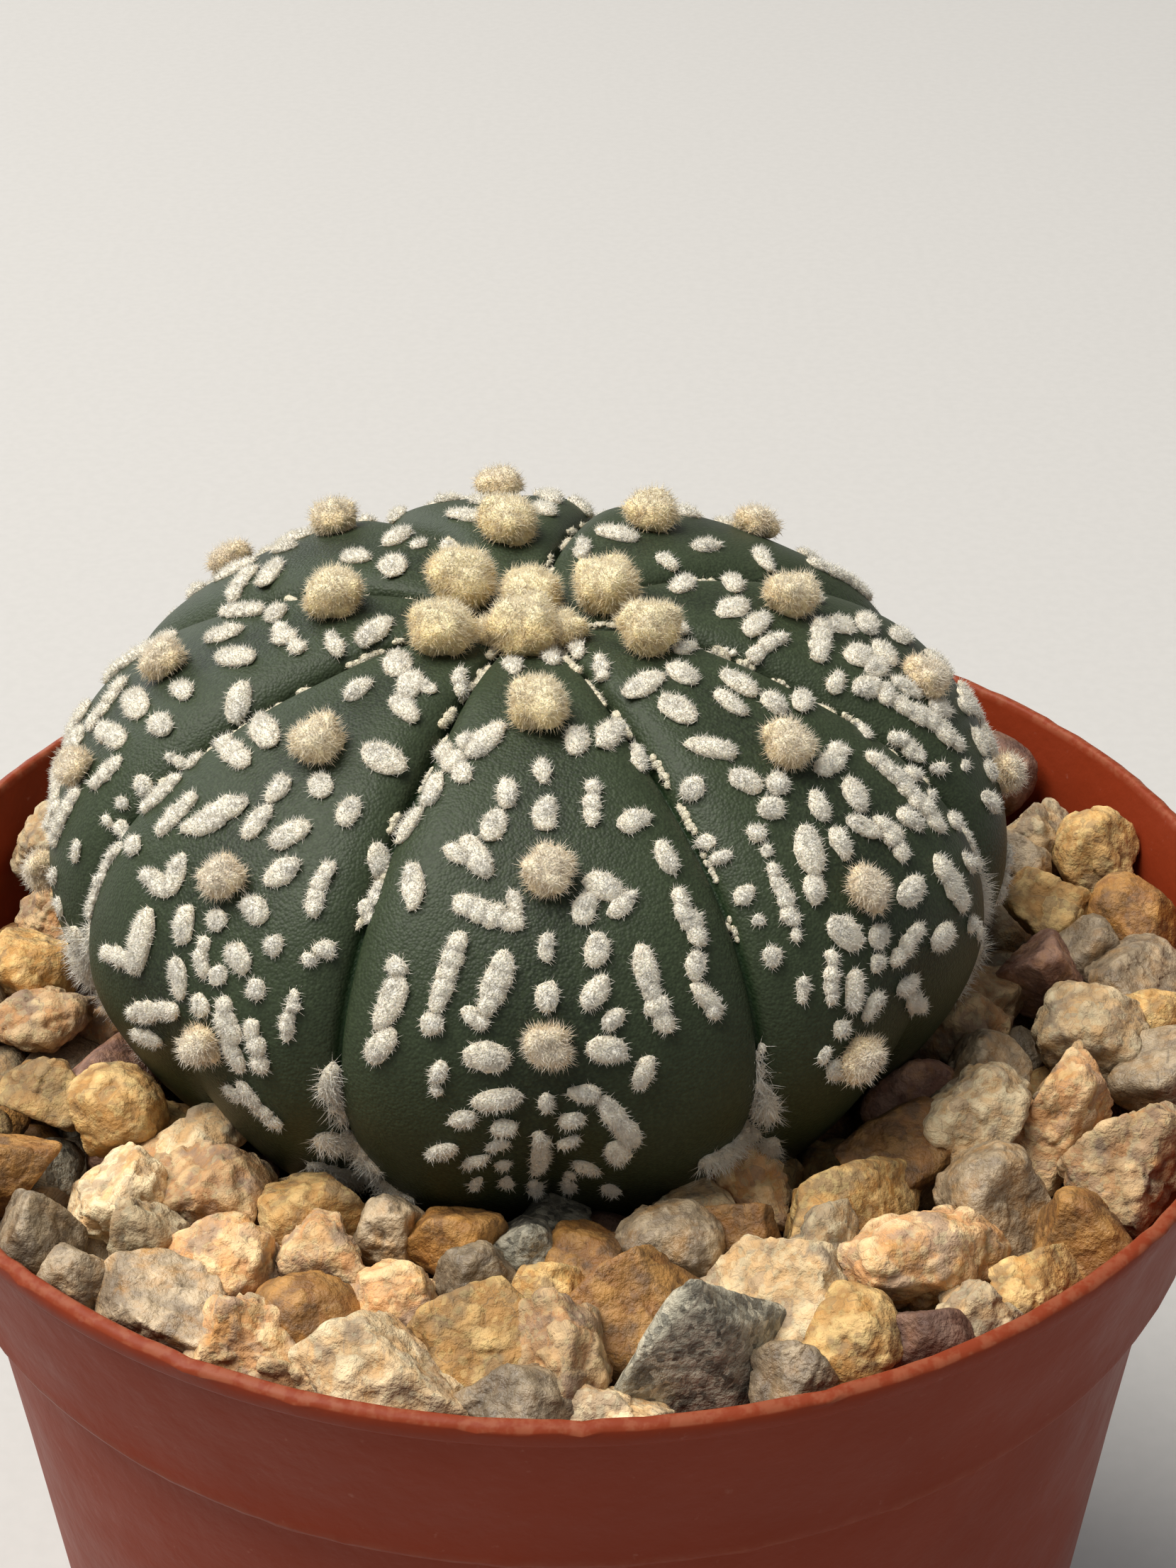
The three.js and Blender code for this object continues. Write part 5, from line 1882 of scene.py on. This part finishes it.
@dataclass
class Pot:
    """The small tapered pot: thin lip with rough flash, collar, step, wall, foot ring and drainage holes."""

    segments: int = 256
    top: float = 72
    rim_radius: float = 42.5 * MM
    hole_radius: float = 3.2 * MM
    hole_circle: float = 19 * MM
    hole_count: int = 6
    hole_segments: int = 32
    hole_height: float = 2.6 * MM
    drill_length: float = 6 * MM
    flash: float = 0.26 * MM
    warp: float = 0.06 * MM
    margin: float = 0.02 * MM
    # Above this height the lip gets its painted highlight.
    lip_highlight_from: float = 71.7
    finish: PlasticFinish = PlasticFinish("pot_plastic", roughness=0.4, specular=0.1)

    def profile(self) -> list[tuple[float, float, float]]:
        """The section from the middle of the underside, up outside and down inside.

        Returns:
            Radius, height and how rough the moulding is there, for each point, in millimetres.
        """
        outside = [
            (0, 1.8, 0), (28.7, 1.8, 0), (29.2, 1.2, 0), (29.4, 0.3, 0), (29.75, 0, 0), (31.3, 0, 0),
            (31.75, 0.12, 0), (32, 0.6, 0), (32.1, 1.6, 0), (33.5, 14, 0), (35, 28, 0), (36.5, 43, 0),
            (37.6, 53, 0), (38.12, 58.4, 0), (38.2, 59.1, 0), (38.5, 59.3, 0), (39.45, 59.28, 0.1),
            (39.8, 59.42, 0.4), (39.9, 59.7, 0.3), (39.86, 60.1, 0), (40.3, 63, 0), (40.85, 66, 0),
            (41.42, 69, 0), (41.56, 69.8, 0), (41.62, 70.15, 0), (41.8, 70.4, 0), (42.24, 70.55, 0),
            (42.38, 70.8, 0), (42.42, 71.3, 0.1), (42.4, 71.62, 0.6), (42.36, 71.74, 1), (42.14, 71.92, 1),
            (41.8, 71.97, 0.5),
        ]
        inside = [
            (41.72, 71.96, 0.4), (41.55, 71.8, 0.5), (41.45, 71.4, 0.2), (41.0, 70.1, 0), (40.1, 66, 0),
            (39.2, 62, 0), (38.6, 59.9, 0), (38.2, 59.0, 0), (37.2, 58.2, 0), (36.8, 57.4, 0),
            (34.6, 36, 0), (32.4, 15, 0), (31.3, 4.6, 0), (30.9, 3.7, 0), (30, 3.4, 0), (0, 3.4, 0),
        ]
        return outside + inside

    def build(self) -> Piece:
        """Turns the pot, roughens its lip and cuts the holes.

        Returns:
            The finished piece.
        """
        shell = bmesh.new()
        lip = shell.verts.layers.float.new("lip")
        rings = [self.ring(shell, lip, *point) for point in self.profile()]
        for low, high in zip(rings, rings[1:]):
            for number in range(self.segments):
                after = (number + 1) % self.segments
                places = ((low, number), (low, after), (high, after), (high, number))
                corners = [ring[place % len(ring)] for ring, place in places]
                shell.faces.new(list(dict.fromkeys(corners)))
        bmesh.ops.recalc_face_normals(shell, faces=shell.faces)
        mesh = bpy.data.meshes.new("pot_shell")
        shell.to_mesh(mesh)
        shell.free()
        piece = new_piece("pot_shell", mesh)
        mesh.materials.append(self.finish.material())
        self.drill(piece)
        piece.data.shade_smooth()
        return piece

    def ring(
        self, shell: bmesh.types.BMesh, lip: Any, radius: float, height: float, rough: float
    ) -> list[bmesh.types.BMVert]:
        """Adds a ring of corners, or one on the axis.

        Args:
            shell: the mesh in making.
            lip: the layer that marks where the lip highlight is painted, 1 on the lip and 0.3 on the collar
                step's edge.
            radius: the ring's radius, in millimetres.
            height: its height, in millimetres.
            rough: how much of the flash it shows.

        Returns:
            The corners.
        """
        count = self.segments if radius else 1
        # on_lip and on_edge mark the painted highlights on the rim and on the collar step's edge.
        on_lip = height > self.lip_highlight_from and radius > 41
        on_edge = 59.3 < height < 60 and radius > 39
        corners = []
        for number in range(count):
            angle = FULL_TURN * number / count
            way = Vector((math.sin(angle), -math.cos(angle), 0))
            coarse = noise.noise(way * 26 + Vector((0, 0, height)))
            jag = coarse + 0.6 * noise.noise(way * 70 + Vector((3, 0, height)))
            swell = rough * self.flash * max(-0.6, jag) * (2.2 if jag > 0.55 else 1)
            warp = self.warp * (math.sin(2 * angle + 0.6) - 1) * (height / self.top)
            reach = min(radius * MM + swell * 0.5 + warp, self.rim_radius - self.margin) if radius else 0.0
            corner = shell.verts.new(way * reach + Vector((0, 0, height * MM - abs(swell) * 0.4)))
            corner[lip] = 1.0 if on_lip else 0.3 if on_edge else 0.0
            corners.append(corner)
        return corners

    def drill(self, piece: Piece) -> None:
        """Cuts the drainage holes through the floor."""
        drill = bmesh.new()
        for number in range(self.hole_count + 1):
            reach = self.hole_circle if number < self.hole_count else 0
            angle = FULL_TURN * number / self.hole_count
            made = bmesh.ops.create_cone(
                drill,
                cap_ends=True,
                segments=self.hole_segments,
                radius1=self.hole_radius,
                radius2=self.hole_radius,
                depth=self.drill_length,
            )
            centre = Vector((reach * math.cos(angle), reach * math.sin(angle), self.hole_height))
            bmesh.ops.translate(drill, verts=made["verts"], vec=centre)
        mesh = bpy.data.meshes.new("drill")
        drill.to_mesh(mesh)
        drill.free()
        cutter = new_piece("drill", mesh)
        modifier = piece.modifiers.new("holes", "BOOLEAN")
        modifier.operation = "DIFFERENCE"
        modifier.solver = "EXACT"
        modifier.object = cutter
        freeze(piece, modifier)
        bpy.data.objects.remove(cutter)


# ---- the studio


@dataclass
class Studio:
    """Floor, backdrop, soft lights and the camera at the photograph's viewing angle."""

    focal_pixels: float = 4000
    frame_pixels: tuple[int, int] = (1659, 2212)
    pitch: float = 0.5582
    roll: float = 0.0037
    rim_radius: float = 42.5 * MM
    rim_height: float = 72 * MM
    offset: tuple[float, float, float] = (-0.0399, -0.2139, 4.1104)
    sensor: float = 36
    half_width: float = 4.0
    floor: tuple[float, float] = (-4.0, 2.0)
    bend_radius: float = 0.5
    bend_steps: int = 12
    wall_height: float = 3.0
    aim_height: float = 0.06
    sky: Colour = (0.94, 0.97, 1.0)
    sky_strength: float = 0.34

    def build(self) -> None:
        """Makes the stage, the lights and the camera."""
        self.camera()
        self.sweep()
        self.light("key", (-0.60, 0.0, 1.38), 1.0, 39.0, (1.0, 0.965, 0.91))
        self.light("side", (-1.1, 1.5, 0.64), 1.2, 10.0, (0.95, 0.97, 1.0))
        world = bpy.data.worlds.new("studio")
        world.use_nodes = True
        back = world.node_tree.nodes["Background"]
        back.inputs["Color"].default_value = (*self.sky, 1)
        back.inputs["Strength"].default_value = self.sky_strength
        bpy.context.scene.world = world
        bpy.context.scene.view_settings.view_transform = "Standard"

    def camera(self) -> None:
        """Sets the camera, found from the ellipse of the pot's rim."""
        data = bpy.data.cameras.new("view")
        data.sensor_width = self.sensor
        data.lens = self.focal_pixels / max(self.frame_pixels) * self.sensor
        data.clip_start, data.clip_end = 0.01, 20
        ahead = Vector((0, math.cos(self.pitch), -math.sin(self.pitch)))
        up = Vector((0, math.sin(self.pitch), math.cos(self.pitch)))
        side, rise, away = (part * self.rim_radius for part in self.offset)
        seat_of_camera = bpy.data.objects.new("view", data)
        bpy.context.scene.collection.objects.link(seat_of_camera)
        place = Vector((0, 0, self.rim_height)) - Vector((side, 0, 0)) - up * rise - ahead * away
        seat_of_camera.location = place
        seat_of_camera.rotation_euler = (math.pi / 2 - self.pitch, self.roll, 0)
        bpy.context.scene.camera = seat_of_camera

    def sweep(self) -> None:
        """A wide pale paper sweep under and behind the pot."""
        mesh = bpy.data.meshes.new("sweep")
        near, far = self.floor
        radius = self.bend_radius
        section = [(near, 0.0), (far, 0.0)]
        for angle in np.linspace(0, math.pi / 2, self.bend_steps + 1)[1:]:
            section.append((far + radius * math.sin(angle), radius - radius * math.cos(angle)))
        section.append((far + radius, self.wall_height))
        corners = [(x, y, z) for y, z in section for x in (-self.half_width, self.half_width)]
        faces = [(2 * i, 2 * i + 1, 2 * i + 3, 2 * i + 2) for i in range(len(section) - 1)]
        mesh.from_pydata(corners, [], faces)
        mesh.materials.append(PaperFinish("paper", roughness=0.9, specular=0.2).material())
        mesh.shade_smooth()
        new_piece("sweep", mesh)

    def light(
        self, name: str, place: tuple[float, float, float], size: float, power: float, colour: Colour
    ) -> None:
        """A soft square light that faces the plant.

        Args:
            name: its name.
            place: where it stands.
            size: the length of its side.
            power: its power, in watts.
            colour: its colour.
        """
        data = bpy.data.lights.new(name, "AREA")
        data.shape = "SQUARE"
        data.size = size
        data.energy = power
        data.color = colour
        lamp = bpy.data.objects.new(name, data)
        bpy.context.scene.collection.objects.link(lamp)
        lamp.location = place
        aim = Vector((0, 0, self.aim_height)) - Vector(place)
        lamp.rotation_euler = aim.to_track_quat("-Z", "Y").to_euler()


# ---- main


def seat_all(pieces: Iterable[Piece], node: str) -> None:
    """Seats several pieces in the place of one solid."""
    for piece in pieces:
        seat(piece, node)


def main() -> None:
    """Builds the plant, its gravel, pot and soil, and the studio round them."""
    Studio().build()
    globe = Globe()
    seat(globe.build(), "cactus")
    tufts = Tufts(globe)
    seat_all(tufts.build(), "cactus")
    seat_all(Flecks(globe, tufts).build(), "cactus")
    seat_all(Gravel(globe).build(), "gravel")
    seat(Pot().build(), "pot")
    earth = EarthFinish("soil", roughness=0.95, specular=0.2).material()
    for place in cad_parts["substrate"].material_slots:
        place.material = earth


if __name__ == "__main__":
    main()
